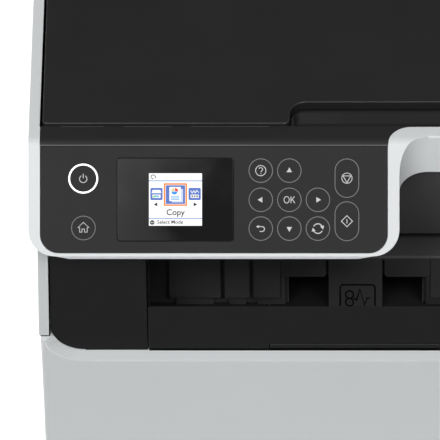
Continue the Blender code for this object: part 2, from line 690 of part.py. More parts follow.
# ---------------------------------------------------------------- control panel
BUTTON_GAP = 0.35 * MM
BUTTON_PROUD = 0.3 * MM
FLANGE = 0.7 * MM
FLANGE_DEPTH = 1.4 * MM
BUTTONS = (  # name, across from the printer's middle, up from the panel's lower edge, radius, length, in mm
    ("power", -160.5, 36.7, 7.4, 0),
    ("home", -160.4, 12.5, 6.0, 0),
    ("help", -73.5, 40.6, 5.95, 0),
    ("up", -59.5, 40.6, 5.95, 0),
    ("left", -73.5, 26.3, 5.95, 0),
    ("ok", -59.5, 26.3, 5.95, 0),
    ("right", -45.5, 26.3, 5.95, 0),
    ("back", -73.5, 12.2, 5.95, 0),
    ("down", -59.5, 12.2, 5.95, 0),
    ("repeat", -45.5, 12.2, 5.95, 0),
    ("stop", -31.3, 36.9, 6.0, 7.2),
    ("start", -31.3, 15.8, 6.0, 7.4),
)
WINDOW_LOW = (-143.8 * MM, 6.1 * MM)
WINDOW_HIGH = (-86.9 * MM, 46.7 * MM)
WINDOW_THICKNESS = 1.2 * MM
WINDOW_CORNER = 1.5 * MM


def stadium(radius, length, sides=12):
    """Outline of a key that is round, or stretched up the slope by a length."""
    top = arc((0, length / 2), radius, 0, math.pi, sides)
    bottom = arc((0, -length / 2), radius, math.pi, 2 * math.pi, sides)
    return top + bottom if length else top + bottom[1:-1]


def make_panel():
    """The sloping plate, its display window, and the keys that stand in its holes."""
    middle = (panel_left + panel_right) / 2
    half = (panel_right - panel_left) / 2 - GAP
    low, high = (-half, TRIM_BOTTOM + GAP), (half, PANEL_LENGTH - GAP)
    outline = rounded(low, high, (PANEL_CORNER, PANEL_CORNER, 0, 0), 12)
    plate = extruded("panel_plate", "Z", outline, -PLATE - GAP, -GAP, PANEL)
    on_slope(plate, middle, 0)
    for name, x, t, r, length in BUTTONS:
        radius, tall = r * MM, length * MM
        hole = extruded("cut_key_" + name, "Z", stadium(radius + BUTTON_GAP, tall), -PLATE - CUT, CUT)
        on_slope(hole, x * MM, t * MM + TRIM_BOTTOM)
        cut(plate, hole)
        wide = stadium(radius + FLANGE, tall)
        slim = stadium(radius, tall)
        depth = -PLATE - GAP * 2
        sections = [(wide, depth - FLANGE_DEPTH), (wide, depth), (slim, depth), (slim, BUTTON_PROUD)]
        key = loft(name + "_button", "Z", sections, PANEL)
        on_slope(key, x * MM, t * MM + TRIM_BOTTOM)
        smooth(key)
        carry(scanner, key)
    base = -GAP - WINDOW_THICKNESS
    pane_low = (WINDOW_LOW[0], WINDOW_LOW[1] + TRIM_BOTTOM)
    pane_high = (WINDOW_HIGH[0], WINDOW_HIGH[1] + TRIM_BOTTOM)
    seat_low = (pane_low[0] - GAP, pane_low[1] - GAP)
    seat_high = (pane_high[0] + GAP, pane_high[1] + GAP)
    seat_outline = rounded(seat_low, seat_high, WINDOW_CORNER + GAP)
    seat = extruded("cut_display_seat", "Z", seat_outline, base - GAP, CUT)
    pane = extruded("display_window", "Z", rounded(pane_low, pane_high, WINDOW_CORNER), base, 0, GLOSSY)
    cut(plate, on_slope(seat, 0, 0))
    carry(scanner, plate, on_slope(pane, 0, 0))


make_panel()

# ---------------------------------------------------------------- document lid
LID_GAP = 1.4 * MM
LID_CORNER = 2.5 * MM
LID_FRONT_GAP = 1 * MM
NOTCH_HALF = 59.4 * MM
NOTCH_DEPTH = 15 * MM
NOTCH_MOUTH = 3.1 * MM  # round corner of the lid, each side of the notch
NOTCH_TURN = 8.4 * MM  # hollow corner at the back of the notch
PAD_MARGIN = 8 * MM
PAD_FRONT_MARGIN = 22 * MM
PAD_THICKNESS = 3 * MM
LID_SHELL = 2.5 * MM

lid_low = HEIGHT - LID_THICKNESS
lid_front = pocket_front + LID_FRONT_GAP
lid_rear = pocket_rear - LID_GAP
lid_half = WIDTH / 2 - RIM_SIDE - LID_GAP
hinge_radius = LID_THICKNESS / 2
lid_axis = (0, lid_rear - hinge_radius, lid_low + hinge_radius)
lid_pivot = pivot("lid_hinge", lid_axis)


def make_lid():
    """The document lid, a shell with a finger notch and a round rear edge, and the white pad under it."""
    rear = arc((lid_axis[1], lid_axis[2]), hinge_radius, -math.pi / 2, math.pi / 2, 10)
    profile = [(lid_front, lid_low), *rear, (lid_front, HEIGHT)]
    lid = extruded("document_lid", "X", profile, -lid_half, lid_half, BLACK)
    mouth_centre = (NOTCH_HALF + NOTCH_MOUTH, lid_front + NOTCH_MOUTH)
    turn_centre = (NOTCH_HALF - NOTCH_TURN, lid_front + NOTCH_DEPTH - NOTCH_TURN)
    mouth = arc(mouth_centre, NOTCH_MOUTH, math.pi * 3 / 2, math.pi, 6)
    turn = arc(turn_centre, NOTCH_TURN, 0, math.pi / 2, 12)
    right_side = [(mouth_centre[0], lid_front - CUT), *mouth, *turn]
    left_side = [(-x, y) for x, y in reversed(right_side)]
    notch = extruded("cut_finger_notch", "Z", right_side + left_side, lid_low - CUT, HEIGHT + CUT)
    margin_rear = PAD_MARGIN + LID_THICKNESS
    low = (-lid_half + PAD_MARGIN, lid_front + PAD_FRONT_MARGIN)
    high = (lid_half - PAD_MARGIN, lid_rear - margin_rear)
    hollow = block("cut_lid_hollow", (*low, lid_low - CUT), (*high, HEIGHT - LID_SHELL))
    cut(lid, notch, hollow)
    for name, x, inward in (("left", -lid_half, 1), ("right", lid_half, -1)):
        place = (x, lid_front)
        cut(lid, corner("cut_lid_" + name, place, (inward, 1), LID_CORNER, lid_low - CUT, HEIGHT + CUT))
    for x in (-lid_half * 2 / 3, 0, lid_half * 2 / 3):
        rib_low = (x - LID_SHELL / 2, low[1] - CUT, lid_low + PAD_THICKNESS)
        join(lid, block("lid_rib", rib_low, (x + LID_SHELL / 2, high[1] + CUT, HEIGHT - CUT)))
    pad_low = (low[0] + GAP, low[1] + GAP, deck_top + SLIP)
    pad_high = (high[0] - GAP, high[1] - GAP, lid_low + PAD_THICKNESS - GAP)
    pad = block("lid_pad", pad_low, pad_high, FOAM, RADIUS_SMALL)
    carry(lid_pivot, lid, pad)
    smooth(lid, 30)
    bpy.context.view_layer.update()
    lid_pivot.parent = scanner
    lid_pivot.matrix_parent_inverse = scanner.matrix_world.inverted()


make_lid()

# ---------------------------------------------------------------- output tray
TRAY_LOW = LEDGE_Z + 1.2 * MM
TRAY_FRONT_HEIGHT = 29.7 * MM
TRAY_CORNER = 1.2 * MM
TRAY_WALL = 3 * MM
TRAY_LENGTH = 130 * MM
EXTENSION_HALF = 60 * MM
EXTENSION_LENGTH = 108 * MM
EXTENSION_INSET = 0.3 * MM
STOPPER_HALF = 28 * MM
STOPPER_LENGTH = 19 * MM
STOPPER_THICKNESS = 1.4 * MM
STOPPER_START = 6 * MM
tray_top = TRAY_FLOOR_Z
tray_left, tray_right = lane_left + SLIP, lane_right - SLIP


def make_tray():
    """The output tray with its front wall; an extension in its floor carries a paper stopper."""
    floor_low, floor_high = (tray_left, dark_y, TRAY_LOW), (tray_right, dark_y + TRAY_LENGTH, tray_top)
    tray = block("output_tray", floor_low, floor_high, BLACK)
    front_low, front_high = (tray_left, TRAY_LOW), (tray_right, TRAY_LOW + TRAY_FRONT_HEIGHT)
    front = rounded(front_low, front_high, (0, 0, TRAY_CORNER, TRAY_CORNER))
    join(tray, extruded("tray_front", "Y", front, dark_y, dark_y + TRAY_WALL))
    slot_low = (lane_middle - EXTENSION_HALF - SLIP, dark_y - CUT, TRAY_LOW - CUT)
    slot_high = (lane_middle + EXTENSION_HALF + SLIP, dark_y + EXTENSION_LENGTH + SLIP, tray_top + GAP)
    cut(tray, block("cut_extension_slot", slot_low, slot_high))
    low = (lane_middle - EXTENSION_HALF, dark_y, TRAY_LOW + EXTENSION_INSET)
    high = (lane_middle + EXTENSION_HALF, dark_y + EXTENSION_LENGTH, tray_top - EXTENSION_INSET)
    extension = block("tray_extension", low, high, BLACK)
    hinge_y = dark_y + STOPPER_START
    seat_low = (lane_middle - STOPPER_HALF - SLIP, hinge_y - SLIP, high[2] - STOPPER_THICKNESS)
    seat_high = (lane_middle + STOPPER_HALF + SLIP, hinge_y + STOPPER_LENGTH + SLIP, tray_top + CUT)
    cut(extension, block("cut_stopper_seat", seat_low, seat_high))
    stopper_base = high[2] - STOPPER_THICKNESS + GAP
    stopper_low = (lane_middle - STOPPER_HALF, hinge_y, stopper_base)
    stopper_top = stopper_base + STOPPER_THICKNESS - GAP
    stopper_high = (lane_middle + STOPPER_HALF, hinge_y + STOPPER_LENGTH, stopper_top)
    block("paper_stopper", stopper_low, stopper_high, BLACK)


make_tray()

# ---------------------------------------------------------------- cassette
TRAY_HEIGHT = 46 * MM
CASSETTE_LENGTH = 296 * MM
HANDLE_HALF = 60 * MM
HANDLE_HEIGHT = 17 * MM
HANDLE_CORNER = 4 * MM
END_GUIDE_IN = 10 * MM
HANDLE_DEPTH = 15 * MM
HANDLE_DROP = 10 * MM
GUIDE_LENGTH = 64 * MM
GUIDE_HEIGHT = 32 * MM
GUIDE_FOOT = 26 * MM
PAPER_HALF = 105 * MM
END_GUIDE_HALF = 24 * MM
LIFT_HALF = 70 * MM
LIFT_LENGTH = 96 * MM
LIFT_END_GAP = 14 * MM

cassette_floor = pan_top + SLIP + WALL
cassette_rear = cover_back + CASSETTE_LENGTH


def make_cassette():
    """The paper cassette: a bin with its white front, two paper guides, an end guide and a lift plate."""
    front_low = (body_left, cover_y, FOOT_HEIGHT)
    front = block("cassette_front", front_low, (body_right, cover_back - GAP, CASSETTE_TOP - GAP), WHITE)
    back_low = (body_left + WALL, cover_y + WALL, FOOT_HEIGHT - CUT)
    back_high = (body_right - WALL, cover_back + CUT, CASSETTE_TOP - GAP - WALL)
    cut(front, block("cut_front_back", back_low, back_high))
    round_front(front, FOOT_HEIGHT, CASSETTE_TOP)
    low, high = HANDLE_DROP, HANDLE_DROP + HANDLE_HEIGHT
    z_low, z_high = CASSETTE_TOP - high, CASSETTE_TOP - low
    cup_low = (lane_middle - HANDLE_HALF - WALL, z_low - WALL)
    cup = rounded(cup_low, (lane_middle + HANDLE_HALF + WALL, z_high + WALL), HANDLE_CORNER)
    hollow = rounded((lane_middle - HANDLE_HALF, z_low), (lane_middle + HANDLE_HALF, z_high), HANDLE_CORNER)
    join(front, extruded("handle_cup", "Y", cup, cover_y + CUT, cover_y + HANDLE_DEPTH + WALL))
    cut(front, extruded("cut_handle", "Y", hollow, cover_y - CUT, cover_y + HANDLE_DEPTH))
    bin_low = (cassette_left, cover_back, pan_top + SLIP)
    bin_high = (cassette_right, cassette_rear, pan_top + SLIP + TRAY_HEIGHT)
    body = block("cassette_body", bin_low, bin_high, BLACK)
    room_low = (bin_low[0] + WALL, bin_low[1] + WALL, cassette_floor)
    cut(body, block("cut_bin", room_low, (bin_high[0] - WALL, bin_high[1] - WALL, bin_high[2] + CUT)))
    middle_y = (cover_back + cassette_rear) / 2 - GUIDE_LENGTH / 2
    for side, sign in (("left", -1), ("right", 1)):
        x = lane_middle + sign * PAPER_HALF
        foot_x = x - sign * GUIDE_FOOT
        guide_low = (min(x, x + sign * WALL), middle_y, cassette_floor + GAP)
        guide_high = (max(x, x + sign * WALL), middle_y + GUIDE_LENGTH, cassette_floor + GUIDE_HEIGHT)
        guide = block(side + "_paper_guide", guide_low, guide_high, GREY)
        foot_low = (min(foot_x, x + sign * CUT), middle_y + GUIDE_LENGTH / 4, cassette_floor + GAP)
        foot_high = (max(foot_x, x + sign * CUT), middle_y + GUIDE_LENGTH * 3 / 4, cassette_floor + WALL)
        join(guide, block(side + "_guide_foot", foot_low, foot_high))
    end_y = cover_back + WALL + END_GUIDE_IN
    end_low = (lane_middle - END_GUIDE_HALF, end_y, cassette_floor + GAP)
    end_high = (lane_middle + END_GUIDE_HALF, end_y + WALL, cassette_floor + GUIDE_HEIGHT)
    end = block("end_guide", end_low, end_high, GREY)
    sole_high = (lane_middle + END_GUIDE_HALF, end_y + GUIDE_FOOT, cassette_floor + WALL)
    join(end, block("end_sole", (end_low[0], end_y + CUT, end_low[2]), sole_high))
    plate_rear = cassette_rear - LIFT_END_GAP
    plate_low = (lane_middle - LIFT_HALF, plate_rear - LIFT_LENGTH, cassette_floor + GAP)
    plate_high = (lane_middle + LIFT_HALF, plate_rear, cassette_floor + WALL / 2 + GAP)
    block("lift_plate", plate_low, plate_high, STEEL)


make_cassette()

# ---------------------------------------------------------------- frame inside the body
MID_Z = 92 * MM
MID_REAR_INSET = 40 * MM
PICKUP_HALF = 40 * MM
PICKUP_FRONT = 60 * MM
PICKUP_REAR_INSET = 56 * MM
LIGHTENING = 20 * MM  # from the plate's ends to its opening
PLATE_CORNER = 6 * MM
MOTOR_RADIUS, MOTOR_LENGTH = 15 * MM, 24 * MM
MOTOR_DROP, MOTOR_AHEAD = 52 * MM, 10 * MM
SIDE_PLATE = 2 * MM
PLATE_LEFT_OF_LANE = 17.6 * MM
PLATE_RIGHT_OF_LANE = 8.9 * MM
SIDE_LENGTH = 150 * MM
SIDE_BEHIND_WALL = 44 * MM
SIDE_TOP = HEIGHT - 40 * MM
ROLLER = 6 * MM
SHAFT = 3 * MM
MODULE = 2.5 * MM
FEED_TEETH, IDLER_TEETH, EXIT_TEETH = 16, 18, 12
GEAR_WIDTH = 5 * MM
EXIT_ROLLER_IN = 10 * MM  # behind the front edge of the side plates
ROLLER_Z = EXIT_Z - 6 * MM

SIDE_FRONT = wall_y + SIDE_BEHIND_WALL
SIDE_REAR = SIDE_FRONT + SIDE_LENGTH
EXIT_Y = SIDE_FRONT + EXIT_ROLLER_IN
idler_y = EXIT_Y + MODULE * (EXIT_TEETH + IDLER_TEETH) / 2
feed_y = idler_y + MODULE * (IDLER_TEETH + FEED_TEETH) / 2
left_plate = lane_left - PLATE_LEFT_OF_LANE
right_plate = lane_right + PLATE_RIGHT_OF_LANE
gear_x = left_plate + SLIP


def make_frame():
    """A steel floor over the cassette, with a side plate at each end of the rollers."""
    low = (body_left + WALL + SLIP, cover_back + WALL, MID_Z)
    high = (body_right - WALL - SLIP, body_rear - MID_REAR_INSET, MID_Z + SIDE_PLATE)
    floor = block("mid_frame", low, high, STEEL)
    window_low = (lane_middle - PICKUP_HALF, PICKUP_FRONT, MID_Z - CUT)
    window_high = (lane_middle + PICKUP_HALF, body_rear - PICKUP_REAR_INSET, high[2] + CUT)
    cut(floor, block("cut_pickup_window", window_low, window_high))
    base = MID_Z + SIDE_PLATE + GAP
    for side, x in (("left", left_plate - SIDE_PLATE), ("right", right_plate)):
        outline = rounded((SIDE_FRONT, base), (SIDE_REAR, SIDE_TOP), PLATE_CORNER)
        plate = extruded(side + "_side_plate", "X", outline, x, x + SIDE_PLATE, STEEL)
        opening_low = (SIDE_FRONT + LIGHTENING, base + LIGHTENING)
        opening = rounded(opening_low, (SIDE_REAR - LIGHTENING, ROLLER_Z - LIGHTENING * 2), PLATE_CORNER)
        cut(plate, extruded(f"cut_{side}_lightening", "X", opening, x - CUT, x + SIDE_PLATE + CUT))
        for number, y in enumerate((EXIT_Y, idler_y, feed_y)):
            if side == "right" and y == idler_y:
                continue
            hole = circle((y, ROLLER_Z), SHAFT + GAP, 16)
            cut(plate, extruded(f"cut_{side}_bore_{number}", "X", hole, x - CUT, x + SIDE_PLATE + CUT))


def gear_outline(centre, teeth, phase):
    """Straight-sided teeth with clearance; phase turns them by a part of one tooth's pitch."""
    pitch_radius = MODULE * teeth / 2
    tip, root = pitch_radius + MODULE * 0.7, pitch_radius - MODULE * 0.95
    points = []
    for tooth in range(teeth):
        middle = 2 * math.pi * (tooth + phase) / teeth
        for offset, radius in ((-0.3, root), (-0.12, tip), (0.12, tip), (0.3, root)):
            angle = middle + 2 * math.pi * offset / teeth
            points.append((centre[0] + radius * math.cos(angle), centre[1] + radius * math.sin(angle)))
    return points


def make_rollers():
    """Feed and exit rollers with gears on their left ends, joined by an idler gear."""
    shaft_low, shaft_high = left_plate - SIDE_PLATE - CUT, right_plate + SIDE_PLATE + CUT
    body_low, body_high = gear_x + GEAR_WIDTH + CUT * 2, right_plate - SLIP
    rollers = (("feed_roller", feed_y, FEED_TEETH, 0.0), ("exit_roller", EXIT_Y, EXIT_TEETH, 0.0))
    for name, y, teeth, phase in rollers:
        steps = [(SHAFT, shaft_low), (SHAFT, body_low), (ROLLER, body_low), (ROLLER, body_high)]
        steps += [(SHAFT, body_high), (SHAFT, shaft_high)]
        roller = turned(name, "X", (y, ROLLER_Z), steps, STEEL if name == "feed_roller" else RUBBER, 20)
        outline = gear_outline((y, ROLLER_Z), teeth, phase)
        join(roller, extruded(name + "_gear", "X", outline, gear_x, gear_x + GEAR_WIDTH))
        smooth(roller)
    # An idler with an even number of teeth faces both neighbours with a gap when turned by half a pitch.
    outline = gear_outline((idler_y, ROLLER_Z), IDLER_TEETH, 0.5)
    idler = extruded("idler_gear", "X", outline, gear_x, gear_x + GEAR_WIDTH, GEAR)
    stub = [(SHAFT, shaft_low), (SHAFT, gear_x + CUT)]
    join(idler, turned("idler_stub", "X", (idler_y, ROLLER_Z), stub, None, 20))
    smooth(idler)
    steps = [(MOTOR_RADIUS, left_plate + SLIP), (MOTOR_RADIUS, left_plate + MOTOR_LENGTH)]
    turned("feed_motor", "X", (feed_y - MOTOR_AHEAD, ROLLER_Z - MOTOR_DROP), steps, STEEL, 24)


make_frame()
make_rollers()

# ---------------------------------------------------------------- carriage, platen and ink
RAIL_Y = SIDE_FRONT + 109 * MM
RAIL_LOW, RAIL_HIGH = EXIT_Z + 7 * MM, EXIT_Z + 31 * MM
RAIL_THICKNESS = 2.5 * MM
CARRIAGE_WIDTH = 74 * MM
CARRIAGE_FRONT = SIDE_FRONT + 38 * MM
CARRIAGE_LOW, CARRIAGE_HIGH = EXIT_Z + 9 * MM, EXIT_Z + 41 * MM
HEAD_HEIGHT = 7 * MM
HEAD_INSET = 8 * MM
HEAD_REAR_INSET = 20 * MM
CARRIAGE_TAIL = 2 * MM
CARRIAGE_CHAMFER = 10 * MM
PLATEN_DROP = 2 * MM  # of the platen's floor below its ribs, and of the ribs below the roller's top
PLATEN_THICKNESS = 4 * MM
PLATEN_INSET = 16 * MM
RIB_INSET = 6 * MM
HOME_MARGIN = 8 * MM
PULLEY = 6 * MM
PULLEY_INSET = 12 * MM
BELT_LOW, BELT_HIGH = EXIT_Z + 15 * MM, EXIT_Z + 20 * MM
BELT = 1.2 * MM
PLATEN_RIBS = 11

rail_low_x, rail_high_x = left_plate + GAP, right_plate - GAP
pulley_y = RAIL_Y + RAIL_THICKNESS + 12 * MM
carriage_right = right_plate - HOME_MARGIN
platen_front, platen_rear = EXIT_Y + ROLLER + SLIP * 2, feed_y - ROLLER - SLIP * 2


def make_carriage():
    """The carriage hangs on a sheet-metal rail, with the print head below it and a belt behind."""
    rail_low = (rail_low_x, RAIL_Y, RAIL_LOW)
    rail = block("carriage_rail", rail_low, (rail_high_x, RAIL_Y + RAIL_THICKNESS, RAIL_HIGH), STEEL)
    lip_high = (rail_high_x, pulley_y + PULLEY, RAIL_LOW + RAIL_THICKNESS)
    join(rail, block("rail_lip", (rail_low_x, RAIL_Y + CUT, RAIL_LOW), lip_high))
    back = RAIL_Y + RAIL_THICKNESS + SLIP
    profile = [
        (CARRIAGE_FRONT, CARRIAGE_LOW),
        (RAIL_Y - SLIP, CARRIAGE_LOW),
        (RAIL_Y - SLIP, RAIL_HIGH + SLIP),
        (back, RAIL_HIGH + SLIP),
        (back, BELT_LOW),
        (back + CARRIAGE_TAIL, BELT_LOW),
        (back + CARRIAGE_TAIL, CARRIAGE_HIGH),
        (CARRIAGE_FRONT + CARRIAGE_CHAMFER, CARRIAGE_HIGH),
        (CARRIAGE_FRONT, CARRIAGE_HIGH - CARRIAGE_CHAMFER),
    ]
    body = extruded("carriage", "X", profile, carriage_right - CARRIAGE_WIDTH, carriage_right, BLACK)
    carriage_left = carriage_right - CARRIAGE_WIDTH
    well_low = (carriage_left + WALL, CARRIAGE_FRONT + CARRIAGE_CHAMFER + WALL, CARRIAGE_LOW + WALL)
    well_high = (carriage_right - WALL, RAIL_Y - SLIP - WALL, CARRIAGE_HIGH + CUT)
    cut(body, block("cut_carriage_well", well_low, well_high))
    head_top = CARRIAGE_LOW - GAP
    head_low = (carriage_left + HEAD_INSET, CARRIAGE_FRONT + HEAD_INSET, head_top - HEAD_HEIGHT)
    head_high = (carriage_right - HEAD_INSET, RAIL_Y - HEAD_REAR_INSET, head_top)
    block("print_head", head_low, head_high, GREY, RADIUS_SMALL)
    ends = (("drive_pulley", rail_high_x - PULLEY_INSET), ("idler_pulley", rail_low_x + PULLEY_INSET))
    pulley_base = RAIL_LOW + RAIL_THICKNESS + GAP
    for name, x in ends:
        steps = [(PULLEY + CUT, pulley_base), (PULLEY + CUT, BELT_LOW - CUT)]
        steps += [(PULLEY, BELT_LOW - CUT), (PULLEY, BELT_HIGH + CUT)]
        turned(name, "Z", (x, pulley_y), steps, GEAR, 24)
    inner, outer = PULLEY + GAP, PULLEY + GAP + BELT
    loops = []
    for radius in (outer, inner):
        right_end = arc((ends[0][1], pulley_y), radius, -math.pi / 2, math.pi / 2, 10)
        left_end = arc((ends[1][1], pulley_y), radius, math.pi / 2, math.pi * 3 / 2, 10)
        loops.append(right_end + left_end)
    belt = extruded("timing_belt", "Z", loops[0], BELT_LOW, BELT_HIGH, RUBBER)
    cut(belt, extruded("cut_belt", "Z", loops[1], BELT_LOW - CUT, BELT_HIGH + CUT))
    top = ROLLER_Z + ROLLER - PLATEN_DROP
    platen_top = top - PLATEN_DROP
    platen_low = (left_plate + PLATEN_INSET, platen_front, platen_top - PLATEN_THICKNESS)
    platen = block("platen", platen_low, (right_plate - SLIP, platen_rear, platen_top), BLACK)
    span = right_plate - SLIP - platen_low[0]
    for k in range(PLATEN_RIBS):
        x = platen_low[0] + span * (k + 0.5) / PLATEN_RIBS
        rib_low = (x - CUT, platen_front + RIB_INSET, platen_top - CUT)
        join(platen, block(f"platen_rib_{k}", rib_low, (x + CUT, platen_rear - RIB_INSET, top)))


TANK_GAP = 1.2 * MM
TANK_TOP = HEIGHT - 47 * MM
CAP_LENGTH = 26 * MM
CAP_THICKNESS = 5 * MM
NECK = 4 * MM  # radius of the filler neck


def make_ink():
    """The ink tank in its housing, behind the window, with a hinged filler cap."""
    tank_base = under_ledge + COVER_SHELL + CORNER
    low = (lane_right + COVER_SHELL + TANK_GAP, dark_y + COVER_SHELL + GAP, tank_base)
    high = (body_right - SIDE_FRAME - COVER_SHELL - TANK_GAP, wall_y + TANK_DEPTH - WALL, TANK_TOP)
    tank = block("ink_tank", low, high, TANK, RADIUS_SMALL)
    window_low = (lane_right + TANK_WINDOW_SIDE + GAP, under_ledge + TANK_WINDOW_LOW + GAP)
    window_right = body_right - SIDE_FRAME - GAP - TANK_WINDOW_SIDE
    window_high = (window_right - GAP, under_ledge + TANK_WINDOW_HIGH - GAP)
    pane = rounded(window_low, window_high, RADIUS_SMALL - GAP)
    join(tank, extruded("tank_pane", "Y", pane, dark_y + GAP, dark_y + COVER_SHELL + CUT * 2))
    room_low = (low[0] + WALL, low[1] + WALL, low[2] + WALL)
    cut(tank, block("cut_tank", room_low, (high[0] - WALL, high[1] - WALL, high[2] - WALL)))
    neck = ((low[0] + high[0]) / 2, brow_y + CAP_LENGTH / 2 + NECK)
    cut(tank, extruded("cut_tank_neck", "Z", circle(neck, NECK, 20), high[2] - WALL - CUT, high[2] + CUT))
    cap_low = (neck[0] - CAP_LENGTH / 2, neck[1] - CAP_LENGTH / 2, high[2] + GAP)
    cap_high = (neck[0] + CAP_LENGTH / 2, neck[1] + CAP_LENGTH / 2, high[2] + GAP + CAP_THICKNESS)
    block("tank_cap", cap_low, cap_high, BLACK, RADIUS_SMALL)


make_carriage()
make_ink()

# ---------------------------------------------------------------- back: cover, power, board, boxes
REAR_DEPTH = 30 * MM
REAR_GRIP_HALF = 26 * MM
REAR_GRIP_WIDTH = 16 * MM
REAR_GRIP_INSET = 9 * MM
BOX_LENGTH = 80 * MM
SUPPLY_SIZE = (70 * MM, 54 * MM, 44 * MM)
BOARD_THICKNESS = 1.6 * MM
BOARD_INSET = 12 * MM
BOARD_LENGTH = 140 * MM
BOARD_LIFT = 4 * MM
REAR_ROOM = 42 * MM  # kept free behind the supply and the board for the rear cover
INLET_DEPTH, SOCKET_DEPTH = 14 * MM, 10 * MM
SOCKET_SIDE, SOCKET_EDGE = 6 * MM, 5 * MM
PIN_PITCH, PIN_SHORT = 5 * MM, 3 * MM
PORT_START, PORT_PITCH, PORT_HEIGHT = 4 * MM, 13 * MM, 9 * MM
PORT_DEPTH, PORT_MOUTH, PORT_RIM = 16 * MM, 9 * MM, 1.5 * MM
CHIP_START, CHIP_PITCH, CHIP_LIFT = -20 * MM, 26 * MM, 14 * MM
CHIP_SIZE = (4 * MM, 14 * MM, 12 * MM)
PULL_INSET, PULL_LOW, PULL_HIGH = 10 * MM, 14 * MM, 6 * MM

floor_top = MID_Z + SIDE_PLATE + GAP


def make_back():
    """The rear paper path's cover, the power supply and its inlet, the main board and the ink pad box."""
    low = (lane_middle - REAR_OPENING_HALF + SLIP, body_rear - REAR_DEPTH, REAR_OPENING_LOW + SLIP)
    high = (lane_middle + REAR_OPENING_HALF - SLIP, REAR, REAR_OPENING_HIGH - SLIP)
    cover = block("rear_cover", low, high, WHITE)
    hollow_low = (low[0] + WALL, low[1] - CUT, low[2] + WALL)
    cut(cover, block("cut_rear_cover_inside", hollow_low, (high[0] - WALL, REAR - WALL, high[2] - WALL)))
    centre_z = (low[2] + high[2]) / 2
    grip_right = high[0] - REAR_GRIP_INSET - REAR_GRIP_WIDTH
    for side, x in (("left", low[0] + REAR_GRIP_INSET), ("right", grip_right)):
        grip_low = (x, REAR - WALL - CUT, centre_z - REAR_GRIP_HALF)
        grip_high = (x + REAR_GRIP_WIDTH, REAR + CUT, centre_z + REAR_GRIP_HALF)
        cut(cover, block("cut_rear_grip_" + side, grip_low, grip_high))
    supply_low = (body_left + WALL + PORT_EDGE - CUT, body_rear - REAR_ROOM - SUPPLY_SIZE[1], floor_top)
    supply_high = tuple(low_end + size for low_end, size in zip(supply_low, SUPPLY_SIZE))
    block("power_supply", supply_low, supply_high, STEEL, RADIUS_SMALL)
    inlet_low = (body_left + PORT_EDGE + GAP, body_rear - WALL - INLET_DEPTH, PORT_LOW + GAP)
    inlet_right, inlet_top = body_left + PORT_EDGE + INLET_WIDTH, PORT_LOW + INLET_HEIGHT
    inlet_high = (inlet_right - GAP, body_rear - CUT, inlet_top - GAP)
    inlet = block("mains_inlet", inlet_low, inlet_high, BLACK)
    socket_low = (inlet_low[0] + SOCKET_SIDE, inlet_high[1] - SOCKET_DEPTH, inlet_low[2] + SOCKET_EDGE)
    socket_high = (inlet_high[0] - SOCKET_SIDE, inlet_high[1] + CUT, inlet_high[2] - SOCKET_EDGE)
    cut(inlet, block("cut_inlet", socket_low, socket_high))
    pin_z = (inlet_low[2] + inlet_high[2]) / 2
    for k in (-1, 0, 1):
        x = (inlet_low[0] + inlet_high[0]) / 2 + k * PIN_PITCH
        pin_low = (x - CUT / 2, socket_low[1] - CUT, pin_z - CUT)
        pin_high = (x + CUT / 2, inlet_high[1] - PIN_SHORT, pin_z + CUT)
        join(inlet, block(f"inlet_pin_{k + 1}", pin_low, pin_high))
    board_x = body_right - WALL - BOARD_INSET
    board_low = (board_x, body_rear - REAR_ROOM - BOARD_LENGTH, floor_top + BOARD_LIFT)
    board_high = (board_x + BOARD_THICKNESS, body_rear - WALL - SLIP, PORT_HIGH)
    board = block("main_board", board_low, board_high, BOARD)
    for k in range(3):
        z = PORT_LOW + PORT_START + k * PORT_PITCH
        port_low = (board_x - PORT_DEPTH, body_rear - WALL - PORT_DEPTH, z)
        join(board, block(f"port_{k}", port_low, (board_x + CUT, body_rear - GAP, z + PORT_HEIGHT)))
        mouth_low = (port_low[0] + PORT_RIM, body_rear - PORT_MOUTH, z + PORT_RIM)
        mouth_high = (board_x - PORT_RIM, body_rear + CUT, z + PORT_HEIGHT - PORT_RIM)
        cut(board, block(f"cut_port_{k}", mouth_low, mouth_high))
    for k in range(4):
        chip_z = floor_top + CHIP_LIFT + (k % 2) * CHIP_SIZE[2]
        chip_low = (board_x - CHIP_SIZE[0], CHIP_START + k * CHIP_PITCH, chip_z)
        chip_high = (board_x + CUT / 2, chip_low[1] + CHIP_SIZE[1], chip_z + CHIP_SIZE[2])
        join(board, block(f"chip_{k}", chip_low, chip_high))
    box_low = (box_left, body_rear - BOX_LENGTH, BOX_LOW)
    box = block("ink_pad_box", box_low, (box_right, body_rear, BOX_HIGH), BLACK)
    pad_room = (box_low[0] + WALL, box_low[1] + WALL, BOX_LOW + WALL)
    cut(box, block("cut_pad_room", pad_room, (box_right - WALL, body_rear - WALL * 3, BOX_HIGH + CUT)))
    pull_low = (box_left + PULL_INSET, body_rear - WALL, BOX_HIGH - PULL_LOW)
    pull_high = (box_right - PULL_INSET, body_rear + CUT, BOX_HIGH - PULL_HIGH)
    cut(box, block("cut_box_pull", pull_low, pull_high))


make_back()
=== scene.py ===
import json
import math

import bmesh
import bpy
from mathutils import Matrix, Vector


